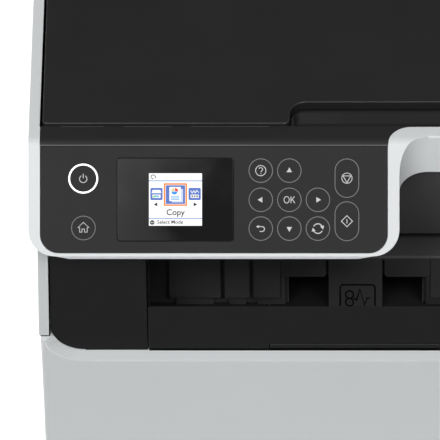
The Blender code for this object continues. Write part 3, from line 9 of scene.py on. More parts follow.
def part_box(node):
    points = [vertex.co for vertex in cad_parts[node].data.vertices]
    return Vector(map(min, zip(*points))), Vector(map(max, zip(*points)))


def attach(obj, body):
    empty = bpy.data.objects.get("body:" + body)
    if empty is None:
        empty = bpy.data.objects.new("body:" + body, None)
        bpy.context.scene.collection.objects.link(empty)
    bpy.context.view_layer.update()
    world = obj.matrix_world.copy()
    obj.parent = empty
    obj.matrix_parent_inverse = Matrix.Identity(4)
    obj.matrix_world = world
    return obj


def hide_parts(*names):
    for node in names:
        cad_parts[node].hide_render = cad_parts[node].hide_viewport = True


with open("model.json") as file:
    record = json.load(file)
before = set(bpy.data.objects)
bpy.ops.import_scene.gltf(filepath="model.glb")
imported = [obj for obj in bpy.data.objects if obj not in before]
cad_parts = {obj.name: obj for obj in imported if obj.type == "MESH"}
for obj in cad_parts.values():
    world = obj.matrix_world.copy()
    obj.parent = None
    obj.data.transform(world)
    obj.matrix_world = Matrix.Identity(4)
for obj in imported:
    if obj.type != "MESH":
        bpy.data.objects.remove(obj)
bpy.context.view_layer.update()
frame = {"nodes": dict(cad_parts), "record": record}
nodes = frame["nodes"]
MM = 0.001


# ---- Floor pan and feet --------------------------------------------------------------------------
# The bottom pan is one black moulding with two runners for the cassette and its own rear feet.
# The two front feet are rubber buttons pressed into it. Nothing here has a coat of paint; the lighter
# black on the rounded edges is partly rubbed wear and partly painted highlight.
members = frame["record"]["behaviour"]["bodies"]
body_of = {node: body for body, group in members.items() for node in group}
SHARP = math.radians(34)  # edges that turn more than this are rounded


def blank(name):
    """A new material and its shader."""
    material = bpy.data.materials.new(name)
    material.use_nodes = True
    return material, material.node_tree.nodes["Principled BSDF"]


def filled(node, values):
    """Sets inputs of a node by their names, and gives the node back."""
    for label, value in values.items():
        node.inputs[label].default_value = value
    return node


def added(tree, kind, values):
    """A new node in a tree, with inputs set by their names."""
    return filled(tree.nodes.new(kind), values)


def wire(source, output, target, entry):
    """Links an output of one node to an input of another."""
    source.id_data.links.new(source.outputs[output], target.inputs[entry])


def moulded(name, colour, roughness, grain=0.45 * MM, relief=0.012 * MM, mottle=0.05, gloss=0.5):
    """Moulded plastic: fine spark-eroded grain, faint flow marks, and patches polished by handling."""
    material, shader = blank(name)
    tree = material.node_tree
    filled(shader, {"Specular IOR Level": gloss})
    place = tree.nodes.new("ShaderNodeTexCoord")
    fine = added(tree, "ShaderNodeTexNoise", {"Scale": 1 / grain, "Detail": 2.0})
    bump = added(tree, "ShaderNodeBump", {"Strength": 0.6, "Distance": relief})
    broad = added(tree, "ShaderNodeTexNoise", {"Scale": 14.0, "Detail": 3.0})
    tint = tree.nodes.new("ShaderNodeMix")
    tint.data_type = "RGBA"
    filled(tint, {
        "A": (*[c * (1 - mottle) for c in colour], 1),
        "B": (*[c * (1 + mottle) for c in colour], 1),
    })
    rubbed = added(tree, "ShaderNodeTexNoise", {"Scale": 38.0, "Detail": 4.0})
    spread = added(tree, "ShaderNodeMapRange", {
        "From Min": 0.3,
        "From Max": 0.7,
        "To Min": roughness - 0.05,
        "To Max": roughness + 0.05,
    })
    for noise in (fine, broad, rubbed):
        wire(place, "Object", noise, "Vector")
    wire(fine, "Fac", bump, "Height")
    wire(bump, "Normal", shader, "Normal")
    wire(broad, "Fac", tint, "Factor")
    wire(tint, "Result", shader, "Base Color")
    wire(rubbed, "Fac", spread, "Value")
    wire(spread, "Result", shader, "Roughness")
    return material


def meshed(name, shape, *materials):
    """Turns a finished shape into a mesh that carries the materials given."""
    mesh = bpy.data.meshes.new(name)
    shape.to_mesh(mesh)
    shape.free()
    for material in materials:
        mesh.materials.append(material)
    return mesh


def placed(name, data):
    """A new object in the scene, made of the data given."""
    thing = bpy.data.objects.new(name, data)
    bpy.context.scene.collection.objects.link(thing)
    return thing


def fitted(name, mesh, body):
    """Puts a finished mesh into the scene as a piece that rides on a body."""
    mesh.name = name
    piece = placed(name, mesh)
    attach(piece, body)
    return piece


def softened(node, material, edge=None, width=0.4 * MM, steps=2, reshape=None):
    """The CAD node again with its edges rounded, as a moulding tool leaves them; it stands for that node.

    Bevelled strips take the edge material; where one is given, it is mostly a lighter colour that paints
    a highlight along the edge. reshape, if given, moves each corner point beforehand.
    """
    shape = bmesh.new()
    shape.from_mesh(nodes[node].data)
    bmesh.ops.remove_doubles(shape, verts=shape.verts, dist=0.002 * MM)
    bmesh.ops.dissolve_limit(shape, angle_limit=math.radians(0.5), verts=shape.verts, edges=shape.edges)
    if reshape:
        for vertex in shape.verts:
            reshape(vertex.co)
    mesh = meshed(node + "_moulded", shape, material, edge or material)
    mesh.shade_smooth()
    mesh.set_sharp_from_angle(angle=SHARP)
    piece = fitted(node + "_moulded", mesh, body_of[node])
    bevel = piece.modifiers.new("rounded_edges", "BEVEL")
    bevel.width = width
    bevel.segments = steps
    bevel.limit_method = "ANGLE"
    bevel.angle_limit = SHARP
    bevel.use_clamp_overlap = True
    bevel.harden_normals = True
    bevel.material = 1
    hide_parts(node)
    return piece


def finished(node, material):
    """Gives a CAD node that keeps its own shape its real material."""
    for place in nodes[node].material_slots:
        place.material = material


black = moulded("black_moulded_plastic", (0.0175, 0.0175, 0.0180), 0.52, gloss=0.35)
# Rounded edges of black parts take a lighter black: partly rubbed wear, partly painted highlight.
black_edge_wear_and_highlight = moulded("black_rubbed_edge_and_painted_highlight", (0.030, 0.030, 0.031), 0.36, relief=0.004 * MM)
rubber = moulded("rubber_foot", (0.028, 0.028, 0.028), 0.82, grain=0.9 * MM, relief=0.03 * MM, gloss=0.2)
softened("base_pan", black, black_edge_wear_and_highlight, 0.5 * MM)
for side in ("left", "right"):
    softened("front_foot_" + side, rubber, None, 0.5 * MM)


# ---- White housing and lower front cover ---------------------------------------------------------
# The body is one cool white moulding, open at the front, and the cover below the tray clips onto it.
# A fine matte grain covers both. Their edges are a little smoother, and the lighter white on them is
# painted highlight.
WHITE = (0.70, 0.725, 0.735)
white = moulded("white_moulded_plastic", WHITE, 0.42, grain=0.55 * MM, relief=0.006 * MM, mottle=0.012)
white_edge_highlight = moulded("white_smooth_edge_painted_highlight", (0.80, 0.82, 0.825), 0.30, relief=0.002 * MM, mottle=0.01)
ledge_low, ledge_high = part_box("lower_front_cover")
seam_high = ledge_high.z
left_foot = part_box("left_front_cover")[0].z - 1 * MM
FRAME_BACK = -140 * MM  # the front frame lies in front of this
DRAFT_FROM, DRAFT_TO = 160 * MM, 177 * MM  # across the machine, where the draft sets in and is full
DRAFT_TOP, DRAFT_FALL = 255 * MM, 55 * MM
LEAN_IN, LEAN_GAIN = 0.55 * MM, 1.95 * MM  # inward at the top, and how much of it is gained on the way down
SEAM_OPEN, SEAM_OUT = 0.3 * MM, 0.4 * MM


def drafted(point):
    """Lets the sides of the front frame lean outward as they go down, as far as the seam."""
    if point.y < FRAME_BACK and point.z > left_foot:
        share = min(max((abs(point.x) - DRAFT_FROM) / (DRAFT_TO - DRAFT_FROM), 0.0), 1.0)
        lean = (DRAFT_TOP - point.z) / DRAFT_FALL * LEAN_GAIN - LEAN_IN
        point.x += math.copysign(share * lean, point.x)
        if seam_high < point.z < seam_high + 1 * MM:
            point.z += SEAM_OPEN


def seam_drawn_down(point):
    """Opens the seam over the ends of the lower cover, so that it shows as a dark line."""
    if point.z > seam_high - 1 * MM:
        point.z -= SEAM_OPEN
        point.x += math.copysign(SEAM_OUT, point.x)


softened("rear_housing", white, white_edge_highlight, 0.5 * MM, reshape=drafted)
softened("lower_front_cover", white, white_edge_highlight, 0.45 * MM, reshape=seam_drawn_down)
softened("rear_cover", white, white_edge_highlight, 0.6 * MM)


# ---- Painted highlight along the ridge -----------------------------------------------------------
# The front cover's ridge carries a narrow strip in a whiter, smoother white, a painted highlight where
# the ridge catches the light. It is a chamfer on the outer edge of the ledge.
RIDGE_LINE_WIDE, RIDGE_LINE_PROUD = 0.6 * MM, 0.1 * MM
RIDGE_BAND, RIDGE_FROM = 1.2 * MM, 183 * MM
edge_points = [vertex.co.copy() for vertex in nodes["lower_front_cover"].data.vertices]
front_points = [p for p in edge_points if p.y < ledge_low.y + RIDGE_BAND and p.z > RIDGE_FROM]
ridge = {(round(point.x, 5), round(point.z, 5)): point for point in front_points}
ridge = sorted(ridge.values(), key=lambda point: point.x)
shape = bmesh.new()
strip = []
for k, point in enumerate(ridge):
    before, after = ridge[max(k - 1, 0)], ridge[min(k + 1, len(ridge) - 1)]
    run = Vector((after.x - before.x, 0, after.z - before.z)).normalized()
    rise = Vector((-run.z, 0, run.x))
    front_side = point - rise * RIDGE_LINE_WIDE + Vector((0, -RIDGE_LINE_PROUD, 0))
    back_side = point + rise * RIDGE_LINE_PROUD + Vector((0, RIDGE_LINE_WIDE, 0))
    strip.append([shape.verts.new(place) for place in (front_side, back_side)])
for one, other in zip(strip, strip[1:]):
    shape.faces.new((one[0], other[0], other[1], one[1]))
ridge_highlight_white = moulded("ridge_painted_highlight_white", (0.90, 0.91, 0.91), 0.30, relief=0.002 * MM, mottle=0.005)
fitted("ridge_painted_highlight_strip", meshed("ridge_painted_highlight_strip", shape, ridge_highlight_white), "body")


# ---- Screws --------------------------------------------------------------------------------------
# Cross-head screws hold the back and the pan. Each is a zinc plated pan head in a shallow seat.
# They are laid out in rows, so one set of nodes makes them all.
def plated(name, colour, roughness, along=(1.0, 1.0, 1.0)):
    """Plated or brushed metal: fine lines along the direction of the smallest number, and dull spots."""
    material, shader = blank(name)
    tree = material.node_tree
    filled(shader, {"Metallic": 1.0})
    place = tree.nodes.new("ShaderNodeTexCoord")
    stretch = added(tree, "ShaderNodeMapping", {"Scale": along})
    lines = added(tree, "ShaderNodeTexNoise", {"Scale": 900.0, "Detail": 3.0})
    spots = added(tree, "ShaderNodeTexNoise", {"Scale": 90.0})
    spread = added(tree, "ShaderNodeMapRange", {
        "To Min": roughness - 0.08,
        "To Max": roughness + 0.14,
    })
    tint = tree.nodes.new("ShaderNodeMix")
    tint.data_type = "RGBA"
    filled(tint, {"A": (*[c * 0.86 for c in colour], 1), "B": (*colour, 1)})
    bump = added(tree, "ShaderNodeBump", {"Strength": 0.25, "Distance": 0.01 * MM})
    wire(place, "Object", stretch, "Vector")
    wire(stretch, "Vector", lines, "Vector")
    wire(place, "Object", spots, "Vector")
    wire(lines, "Fac", spread, "Value")
    wire(spread, "Result", shader, "Roughness")
    wire(spots, "Fac", tint, "Factor")
    wire(tint, "Result", shader, "Base Color")
    wire(lines, "Fac", bump, "Height")
    wire(bump, "Normal", shader, "Normal")
    return material


def new_tree(name, sockets):
    """A geometry tree with named inputs, and the identifier of each input by its name."""
    tree = bpy.data.node_groups.new(name, "GeometryNodeTree")
    tree.interface.new_socket("Geometry", in_out="INPUT", socket_type="NodeSocketGeometry")
    tree.interface.new_socket("Geometry", in_out="OUTPUT", socket_type="NodeSocketGeometry")
    keys = {}
    for label, kind in sockets:
        keys[label] = tree.interface.new_socket(label, in_out="INPUT", socket_type=kind).identifier
    return tree, keys


def row_tree(name, make_shape):
    """Copies one small shape along a straight row. make_shape adds its nodes and returns its socket."""
    sockets = (
        ("Count", "NodeSocketInt"),
        ("Start", "NodeSocketVector"),
        ("Step", "NodeSocketVector"),
        ("Size", "NodeSocketVector"),
        ("Turn", "NodeSocketVector"),
        ("Material", "NodeSocketMaterial"),
    )
    tree, keys = new_tree(name, sockets)
    given = tree.nodes.new("NodeGroupInput")
    line = tree.nodes.new("GeometryNodeMeshLine")
    line.mode = "OFFSET"
    copies = tree.nodes.new("GeometryNodeInstanceOnPoints")
    solid = tree.nodes.new("GeometryNodeRealizeInstances")
    coat = tree.nodes.new("GeometryNodeSetMaterial")
    made = tree.nodes.new("NodeGroupOutput")
    wire(given, "Count", line, "Count")
    wire(given, "Start", line, "Start Location")
    wire(given, "Step", line, "Offset")
    wire(line, "Mesh", copies, "Points")
    tree.links.new(make_shape(tree, given), copies.inputs["Instance"])
    wire(given, "Turn", copies, "Rotation")
    wire(copies, "Instances", solid, "Geometry")
    wire(solid, "Geometry", coat, "Geometry")
    wire(given, "Material", coat, "Material")
    wire(coat, "Geometry", made, "Geometry")
    return tree, keys


def grown(name, made_by, values, body):
    """Runs a geometry tree on an empty mesh and keeps the result as a plain mesh that rides on a body."""
    tree, keys = made_by
    seed = placed(name + "_seed", bpy.data.meshes.new(name + "_seed"))
    growth = seed.modifiers.new("growth", "NODES")
    growth.node_group = tree
    for label, value in values.items():
        growth[keys[label]] = value
    scene_now = bpy.context.evaluated_depsgraph_get()
    mesh = bpy.data.meshes.new_from_object(seed.evaluated_get(scene_now))
    bpy.data.objects.remove(seed)
    return fitted(name, mesh, body)


def screw_head(tree, given):
    """A pan head: a low cylinder, a smaller one on it, and the cross made by two bars."""
    join = tree.nodes.new("GeometryNodeJoinGeometry")
    parts = (
        ("Cylinder", {"Vertices": 24, "Radius": 2.6 * MM, "Depth": 0.7 * MM}, 0.2 * MM),
        ("Cylinder", {"Vertices": 24, "Radius": 2.0 * MM, "Depth": 0.5 * MM}, 0.75 * MM),
        ("Cube", {"Size": (2.4 * MM, 0.5 * MM, 0.12 * MM)}, 1.02 * MM),
        ("Cube", {"Size": (0.5 * MM, 2.4 * MM, 0.12 * MM)}, 1.02 * MM),
    )
    for kind, measures, lift in parts:
        solid = added(tree, "GeometryNodeMesh" + kind, measures)
        move = added(tree, "GeometryNodeTransform", {"Translation": (0, 0, lift)})
        wire(solid, "Mesh", move, "Geometry")
        wire(move, "Geometry", join, "Geometry")
    return join.outputs["Geometry"]


steel = plated("zinc_plated_steel", (0.60, 0.61, 0.62), 0.34, (1.0, 0.08, 1.0))
screws = row_tree("screws in a row", screw_head)
back_low, back_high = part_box("rear_housing")
pan_low, pan_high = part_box("base_pan")
SCREWS_IN_ROW = 4
BACK_INSET, PAN_INSET = 22 * MM, 30 * MM
SOCKET_ROOM = 80 * MM  # the lower row stops short of the sockets
PAN_UNDERSIDE = 4.0 * MM
BACK_TURN, PAN_TURN = (-math.pi / 2, 0.0, 0.0), (math.pi, 0.0, 0.0)


def screw_row(name, start, length, turn):
    """A row of screws across the machine, from a start point over a length."""
    step = (length / (SCREWS_IN_ROW - 1), 0.0, 0.0)
    values = {"Count": SCREWS_IN_ROW, "Start": start, "Step": step, "Turn": turn, "Material": steel}
    grown(name, screws, values, "body")


for label, z, short in (("upper", back_high.z - 24 * MM, 0.0), ("lower", back_low.z + 20 * MM, SOCKET_ROOM)):
    length = back_high.x - back_low.x - 2 * BACK_INSET - short
    screw_row("back_screws_" + label, (back_low.x + BACK_INSET, back_high.y, z), length, BACK_TURN)
for label, y in (("front", pan_low.y + 46 * MM), ("rear", pan_high.y - 60 * MM)):
    length = pan_high.x - pan_low.x - 2 * PAN_INSET
    screw_row("pan_screws_" + label, (pan_low.x + PAN_INSET, y, PAN_UNDERSIDE), length, PAN_TURN)


# ---- Steel chassis, drive and electronics --------------------------------------------------------
# Zinc plated sheet forms the floor over the cassette, the side plates and the carriage rail.
# Rollers run in the side plates; their acetal gears mesh. The supply, motor and board are bolted on.
rail_steel = plated("carriage_rail_steel", (0.66, 0.66, 0.67), 0.22, (0.06, 1.0, 1.0))
acetal = moulded("natural_acetal", (0.62, 0.60, 0.55), 0.38, relief=0.003 * MM, mottle=0.02)
grey = moulded("grey_moulded_plastic", (0.13, 0.13, 0.14), 0.5)
roller_rubber = moulded("roller_rubber", (0.04, 0.04, 0.045), 0.74, grain=0.3 * MM, relief=0.03 * MM)
for node in ("mid_frame", "left_side_plate", "right_side_plate", "lift_plate", "feed_motor", "feed_roller"):
    finished(node, steel)
finished("carriage_rail", rail_steel)
finished("exit_roller", roller_rubber)
finished("timing_belt", roller_rubber)
for node in ("idler_gear", "drive_pulley", "idler_pulley"):
    finished(node, acetal)
softened("power_supply", steel, None, 0.6 * MM)


def circuit_board(name):
    """Green solder mask with copper tracks showing through it as lighter lines."""
    material = moulded(name, (0.012, 0.10, 0.045), 0.34, relief=0.002 * MM)
    tree = material.node_tree
    shader = tree.nodes["Principled BSDF"]
    place = tree.nodes.new("ShaderNodeTexCoord")
    tracks = added(tree, "ShaderNodeTexBrick", {
        "Scale": 160.0,
        "Mortar Size": 0.06,
        "Color1": (0.012, 0.10, 0.045, 1),
        "Color2": (0.010, 0.085, 0.040, 1),
        "Mortar": (0.05, 0.22, 0.09, 1),
    })
    turn = added(tree, "ShaderNodeMapping", {"Rotation": (0.0, math.pi / 2, 0.0)})
    wire(place, "Object", turn, "Vector")
    wire(turn, "Vector", tracks, "Vector")
    wire(tracks, "Color", shader, "Base Color")
    return material


finished("main_board", circuit_board("green_circuit_board"))
softened("mains_inlet", black, black_edge_wear_and_highlight, 0.3 * MM)
softened("ink_pad_box", black, black_edge_wear_and_highlight, 0.4 * MM)
softened("print_head", grey, None, 0.4 * MM)
softened("carriage", black, black_edge_wear_and_highlight, 0.5 * MM)
softened("platen", black, black_edge_wear_and_highlight, 0.3 * MM)


# ---- Star wheels over the exit roller ------------------------------------------------------------
# Thin cornered wheels hold the wet sheet without smearing it.
# They sit in a row just above the roller.
def wheel(tree, given):
    """One wheel: a flat disc with twelve corners."""
    disc = added(tree, "GeometryNodeMeshCylinder", {
        "Vertices": 12,
        "Radius": 4.2 * MM,
        "Depth": 0.4 * MM,
    })
    return disc.outputs["Mesh"]


roller_low, roller_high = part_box("exit_roller")
axis_y = (roller_low.y + roller_high.y) / 2
axis_z = (roller_low.z + roller_high.z) / 2
platen_low, platen_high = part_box("platen")
STAR_COUNT, STAR_INSET = 12, 10 * MM
STAR_RISE = 10.8 * MM  # from the roller's axis to the wheels' own
star_span = platen_high.x - platen_low.x - 2 * STAR_INSET
values = {
    "Count": STAR_COUNT,
    "Start": (platen_low.x + STAR_INSET, axis_y, axis_z + STAR_RISE),
    "Step": (star_span / (STAR_COUNT - 1), 0.0, 0.0),
    "Turn": (0.0, math.pi / 2, 0.0),
    "Material": steel,
}
grown("star_wheels", row_tree("star wheels in a row", wheel), values, "body")


# ---- Paper cassette ------------------------------------------------------------------------------
# A black bin with a white front that has a finger cup. Grey guides slide on its floor, and a steel
# plate lifts the stack at the back. A scale of raised marks runs along the floor for paper sizes.
softened("cassette_body", black, black_edge_wear_and_highlight, 0.5 * MM)
softened("cassette_front", white, white_edge_highlight, 0.6 * MM)
for node in ("left_paper_guide", "right_paper_guide", "end_guide"):
    softened(node, grey, None, 0.4 * MM)


def bar(tree, given):
    """One plain bar of the size given."""
    cube = tree.nodes.new("GeometryNodeMeshCube")
    wire(given, "Size", cube, "Size")
    return cube.outputs["Mesh"]


bars = row_tree("bars in a row", bar)


def bar_row(name, count, start, step, size, material, body):
    """A row of equal bars. start is the middle of the first one."""
    values = {"Count": count, "Start": start, "Step": step, "Size": size, "Material": material}
    grown(name, bars, values, body)


bin_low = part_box("cassette_body")[0]
bin_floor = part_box("left_paper_guide")[0].z - 0.3 * MM
start = (bin_low.x + 22 * MM, bin_low.y + 52 * MM, bin_floor + 0.1 * MM)
step, size = (0.0, 8 * MM, 0.0), (6 * MM, 0.6 * MM, 0.3 * MM)
bar_row("cassette_size_marks", 11, start, step, size, white_edge_highlight, "cassette")


# ---- Black covers, exit frame and output tray ----------------------------------------------------
# Matte black mouldings fill the front between the white parts: a plain cover on the left, the ink
# tank's housing on the right, and between them the paper exit above the tray with its low front wall.
cover_black = moulded("front_cover_black", (0.0115, 0.0115, 0.0120), 0.50, gloss=0.14)
# The tray's parts take a lighter black on their rounded edges, as painted highlight.
cover_edge_highlight = moulded("front_cover_painted_edge_highlight", (0.032, 0.032, 0.033), 0.36, relief=0.004 * MM, gloss=0.3)
# The paper exit's black is lighter than the other blacks, as painted light on the floor of its pocket.
exit_black_painted_light = moulded("paper_path_black_painted_light", (0.048, 0.048, 0.049), 0.55, gloss=0.22)
left_low, left_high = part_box("left_front_cover")
LEFT_GAP, BOTTOM_GAP = 0.55 * MM, 0.45 * MM
CORNER_REACH = 18 * MM


def open_joint(point):
    """Draws the left cover in from the white frame, so that the joint shows as a dark line."""
    if point.x < left_low.x + CORNER_REACH:
        point.x += LEFT_GAP
    if point.z < left_low.z + CORNER_REACH:
        point.z += BOTTOM_GAP
    drafted(point)


softened("left_front_cover", cover_black, cover_black, 0.35 * MM, reshape=open_joint)
tank_black = moulded("tank_cover_black", (0.0072, 0.0072, 0.0075), 0.50, gloss=0.12)
softened("ink_tank_housing", tank_black, cover_black, 0.35 * MM, reshape=drafted)
softened("exit_frame", exit_black_painted_light, cover_black, 0.35 * MM)
tray_low, tray_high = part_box("output_tray")
LIP, LIP_FALL, LIP_BAND = 1.0 * MM, 5 * MM, 2 * MM


def sharpen_lip(point):
    """Thins the top of the tray's front wall to a lip that falls away to the back."""
    if point.z > tray_high.z - LIP_BAND and point.y > tray_low.y + LIP:
        point.z -= LIP_FALL


softened("output_tray", cover_black, cover_edge_highlight, 0.3 * MM, reshape=sharpen_lip)
softened("tray_extension", cover_black, cover_edge_highlight, 0.3 * MM)
softened("paper_stopper", cover_black, cover_edge_highlight, 0.25 * MM)
extension_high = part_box("tray_extension")[1]
tray_floor = extension_high.z + 0.3 * MM
for label, x in (("left", tray_low.x + 14 * MM), ("right", extension_high.x + 12 * MM)):
    start = (x, (tray_low.y + tray_high.y) / 2, tray_floor + 0.3 * MM)
    size = (1.2 * MM, tray_high.y - tray_low.y - 26 * MM, 0.8 * MM)
    bar_row("tray_ribs_" + label, 4, start, (9 * MM, 0.0, 0.0), size, cover_black, "tray")


# ---- Painted shade strips in the gaps ------------------------------------------------------------
# Black strips lie on the white ledge under the tray and the left cover, and in the seams at the two
# sides, as painted shade that keeps the gaps there dark.
gap_shade_black = moulded("painted_gap_shade_black", (0.004, 0.004, 0.004), 0.9, gloss=0.05)
ledge_z = left_low.z - 0.3 * MM
NO_STEP = (0.0, 0.0, 0.0)  # a row of one
SHADE_STRIP_WIDE, SHADE_STRIP_THICK, SHADE_STRIP_LIFT = 8 * MM, 0.24 * MM, 0.1 * MM
SEAM_INNER, SEAM_OUTER = 178.6 * MM, 183.4 * MM
seam_y, seam_z = left_low.y - 0.9 * MM, seam_high - SEAM_OPEN
shade_strips = (  # name, from and to across, front edge, height
    ("tray", tray_low.x, tray_high.x, tray_low.y - 0.2 * MM, ledge_z),
    ("left", left_low.x + 16 * MM, left_high.x, left_low.y + 0.25 * MM, ledge_z),
    ("seam_left", -SEAM_OUTER, -SEAM_INNER, seam_y, seam_z),
    ("seam_right", SEAM_INNER, SEAM_OUTER, seam_y, seam_z),
)
for label, start, stop, y, z in shade_strips:
    centre = ((start + stop) / 2, y + SHADE_STRIP_WIDE / 2, z + SHADE_STRIP_LIFT)
    size = (stop - start, SHADE_STRIP_WIDE, SHADE_STRIP_THICK)
    bar_row("gap_shade_strip_" + label, 1, centre, NO_STEP, size, gap_shade_black, "body")


# ---- Paper-jam pictogram -------------------------------------------------------------------------
# The block in the middle of the exit carries the usual sign for a jam: a framed roller pair with a
# crumpled sheet. It is pressed into the plastic, and the shade in its lines is painted: they are just
# darker than the block.
def stroke(points, width, closed=False):
    """A line of even width through points, as four-sided patches that meet at mitred corners."""
    count = len(points)
    sides = []
    for k, point in enumerate(points):
        here = Vector(point)
        before = Vector(points[k - 1]) if closed or k else here * 2 - Vector(points[k + 1])
        after = Vector(points[(k + 1) % count]) if closed or k < count - 1 else here * 2 - before
        first, second = (here - before).normalized(), (after - here).normalized()
        lean = (first + second).normalized()
        across = Vector((-lean.y, lean.x))
        reach = min(width / 2 / max(abs(across.dot(Vector((-first.y, first.x)))), 0.35), width)
        sides.append((here - across * reach, here + across * reach))
    ends = range(count if closed else count - 1)
    return [[sides[k][0], sides[(k + 1) % count][0], sides[(k + 1) % count][1], sides[k][1]] for k in ends]


def ring(x, y, radius, start=0.0, turn=2 * math.pi, steps=48):
    """Points on a circle or a part of one, anticlockwise for a positive turn."""
    whole = abs(turn) >= 2 * math.pi - 0.001
    angles = [start + turn * k / steps for k in range(steps if whole else steps + 1)]
    return [(x + radius * math.cos(a), y + radius * math.sin(a)) for a in angles]


def round_box(low, high, radius, steps=6):
    """Outline of a rectangle with round corners, anticlockwise."""
    points = []
    spots = ((high[0], high[1], 0), (low[0], high[1], 1), (low[0], low[1], 2), (high[0], low[1], 3))
    for x, y, quarter in spots:
        centre_x = x - math.copysign(radius, x - (low[0] + high[0]) / 2)
        centre_y = y - math.copysign(radius, y - (low[1] + high[1]) / 2)
        points += ring(centre_x, centre_y, radius, quarter * math.pi / 2, math.pi / 2, steps)
    return points


def printed(name, patches, place, material, body):
    """Thin ink on a surface, and flat lines of painted highlight and shade. patches hold points across
    and up; place turns each point into the frame.
    """
    shape = bmesh.new()
    for patch in patches:
        shape.faces.new([shape.verts.new(place(point[0], point[1])) for point in patch])
    bmesh.ops.remove_doubles(shape, verts=shape.verts, dist=0.001 * MM)
    return fitted(name, meshed(name, shape, material), body)


exit_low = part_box("exit_frame")[0]
# Painted shade for the pressed lines: a flat black, darker than the block.
pressed = moulded("pressed_line_painted_shade", (0.0022, 0.0022, 0.0022), 0.6, gloss=0.1)
SIGN_X, SIGN_WIDTH, SIGN_TOP = -26.45 * MM, 17.3 * MM, 204.7 * MM
SIGN_HEIGHT, SIGN_LINE = 14.9 * MM, 0.75 * MM
TALL = 1.41  # the sign is drawn taller than wide, so that it looks right from above


def on_block(x, z):
    """A point of the sign, just in front of the block."""
    return Vector((SIGN_X + x, exit_low.y - 0.04 * MM, SIGN_TOP + z * TALL))


half, foot = SIGN_WIDTH / 2, -SIGN_HEIGHT / TALL
turn = 1.6 * MM
outline = [(-half, foot), *ring(turn - half, -turn, turn, math.pi, -math.pi / 2, 6)]
outline += [*ring(half - turn, -turn, turn, math.pi / 2, -math.pi / 2, 6), (half, foot)]
lines = stroke(outline, SIGN_LINE)
for roller_z in (-4.9 * MM, -8.7 * MM):
    lines += stroke(ring(-4.0 * MM, roller_z, 1.9 * MM), SIGN_LINE, True)
crumple = [(-2.0, -6.6), (-0.5, -7.6), (1.2, -2.2), (3.4, -10.2), (4.8, -6.6), (6.2, -6.6)]
lines += stroke([(x * MM, z * MM) for x, z in crumple], SIGN_LINE)
printed("paper_jam_sign", lines, on_block, pressed, "body")


# ---- Ink tank, window and filler cap -------------------------------------------------------------
# The tank is smoky translucent plastic. Through its window the level of the black ink shows, with
# two plain level marks beside it. A black cap over the filler neck is hinged at its back.
smoke = moulded("smoky_tank_plastic", (0.16, 0.165, 0.17), 0.16, relief=0.002 * MM, mottle=0.02)
ink_look = moulded("ink_behind_window", (0.004, 0.004, 0.005), 0.10, relief=0.001 * MM)
softened("ink_tank", smoke, None, 0.3 * MM)
softened("tank_cap", black, black_edge_wear_and_highlight, 0.5 * MM)
housing_low, housing_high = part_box("ink_tank_housing")
tank_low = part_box("ink_tank")[0]
PANE_INSET = 13.6 * MM
INK_LIFT = 0.03 * MM  # how far print stands off the surface it is on
pane_left, pane_right = housing_low.x + PANE_INSET, housing_high.x - PANE_INSET
pane_bottom = housing_low.z + 12.6 * MM
pane_top = housing_low.z + 59.4 * MM


def on_pane(x, z):
    """A point on the tank's window."""
    return Vector((x, tank_low.y - INK_LIFT, z))


INK_SHARE = 0.62  # how full the tank is
level = pane_bottom + (pane_top - pane_bottom) * INK_SHARE
ink_patch = [(pane_left, pane_bottom), (pane_right, pane_bottom), (pane_right, level), (pane_left, level)]
printed("ink_level", [ink_patch], on_pane, ink_look, "body")
mark_white = moulded("printed_mark_white", (0.62, 0.62, 0.62), 0.5, relief=0.001 * MM)


def on_housing(x, z):
    """A point on the front of the tank's housing."""
    return Vector((x, housing_low.y - INK_LIFT, z))


marks = []
for z in (pane_bottom + 3 * MM, pane_top - 6 * MM):
    marks += stroke([(pane_right + 2.5 * MM, z), (pane_right + 6.5 * MM, z)], 0.5 * MM)
printed("tank_level_marks", marks, on_housing, mark_white, "body")


# ---- Scanner unit: shell, deck, glass and scan bar -----------------------------------------------
# One white shell carries the black deck, the glass and the control panel, and tips back as a whole.
# Its white is a lighter copy of the housing's white, as painted light on its sloped front, and its
# glossier edges take a much whiter colour as painted highlight. The scan bar is a dark carrier with a
# rod lens and a white stripe of light guide.
SHELL_WHITE_LIT = (0.745, 0.765, 0.775)
shell_white_lit = moulded("scanner_shell_painted_light_white", SHELL_WHITE_LIT, 0.40, 0.55 * MM, relief=0.005 * MM, mottle=0.01)
shell_edge_highlight = moulded("scanner_shell_painted_edge_highlight", (0.93, 0.94, 0.94), 0.30, relief=0.002 * MM, mottle=0.005)
shell_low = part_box("scanner_shell")[0]
plate_low, plate_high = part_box("panel_plate")
panel_middle = (shell_low.x + plate_high.x) / 2
LIP_TAPER = 7 * MM


def lip_tapered(point):
    """Lets the upright lip under the panel run out gently towards the two lower corners."""
    if point.y < shell_low.y + 0.02 * MM and point.z < shell_low.z + 0.1 * MM:
        point.x += math.copysign(LIP_TAPER, panel_middle - point.x)


softened("scanner_shell", shell_white_lit, shell_edge_highlight, 0.7 * MM, 3, reshape=lip_tapered)
deck_black = moulded("deck_black", (0.0225, 0.0225, 0.0230), 0.50, gloss=0.2)
softened("scanner_deck", deck_black, black_edge_wear_and_highlight, 0.3 * MM)
softened("scan_bar", grey, None, 0.4 * MM)
glass, glass_shader = blank("scanner_glass_clear")
filled(glass_shader, {
    "Base Color": (0.80, 0.90, 0.87, 1),
    "Roughness": 0.02,
    "Transmission Weight": 1.0,
    "IOR": 1.5,
})
finished("platen_glass", glass)
bar_low, bar_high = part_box("scan_bar")
bar_top = bar_high.z + 0.05 * MM


def on_bar(x, y):
    """A point on top of the scan bar."""
    return Vector((x, y, bar_top))


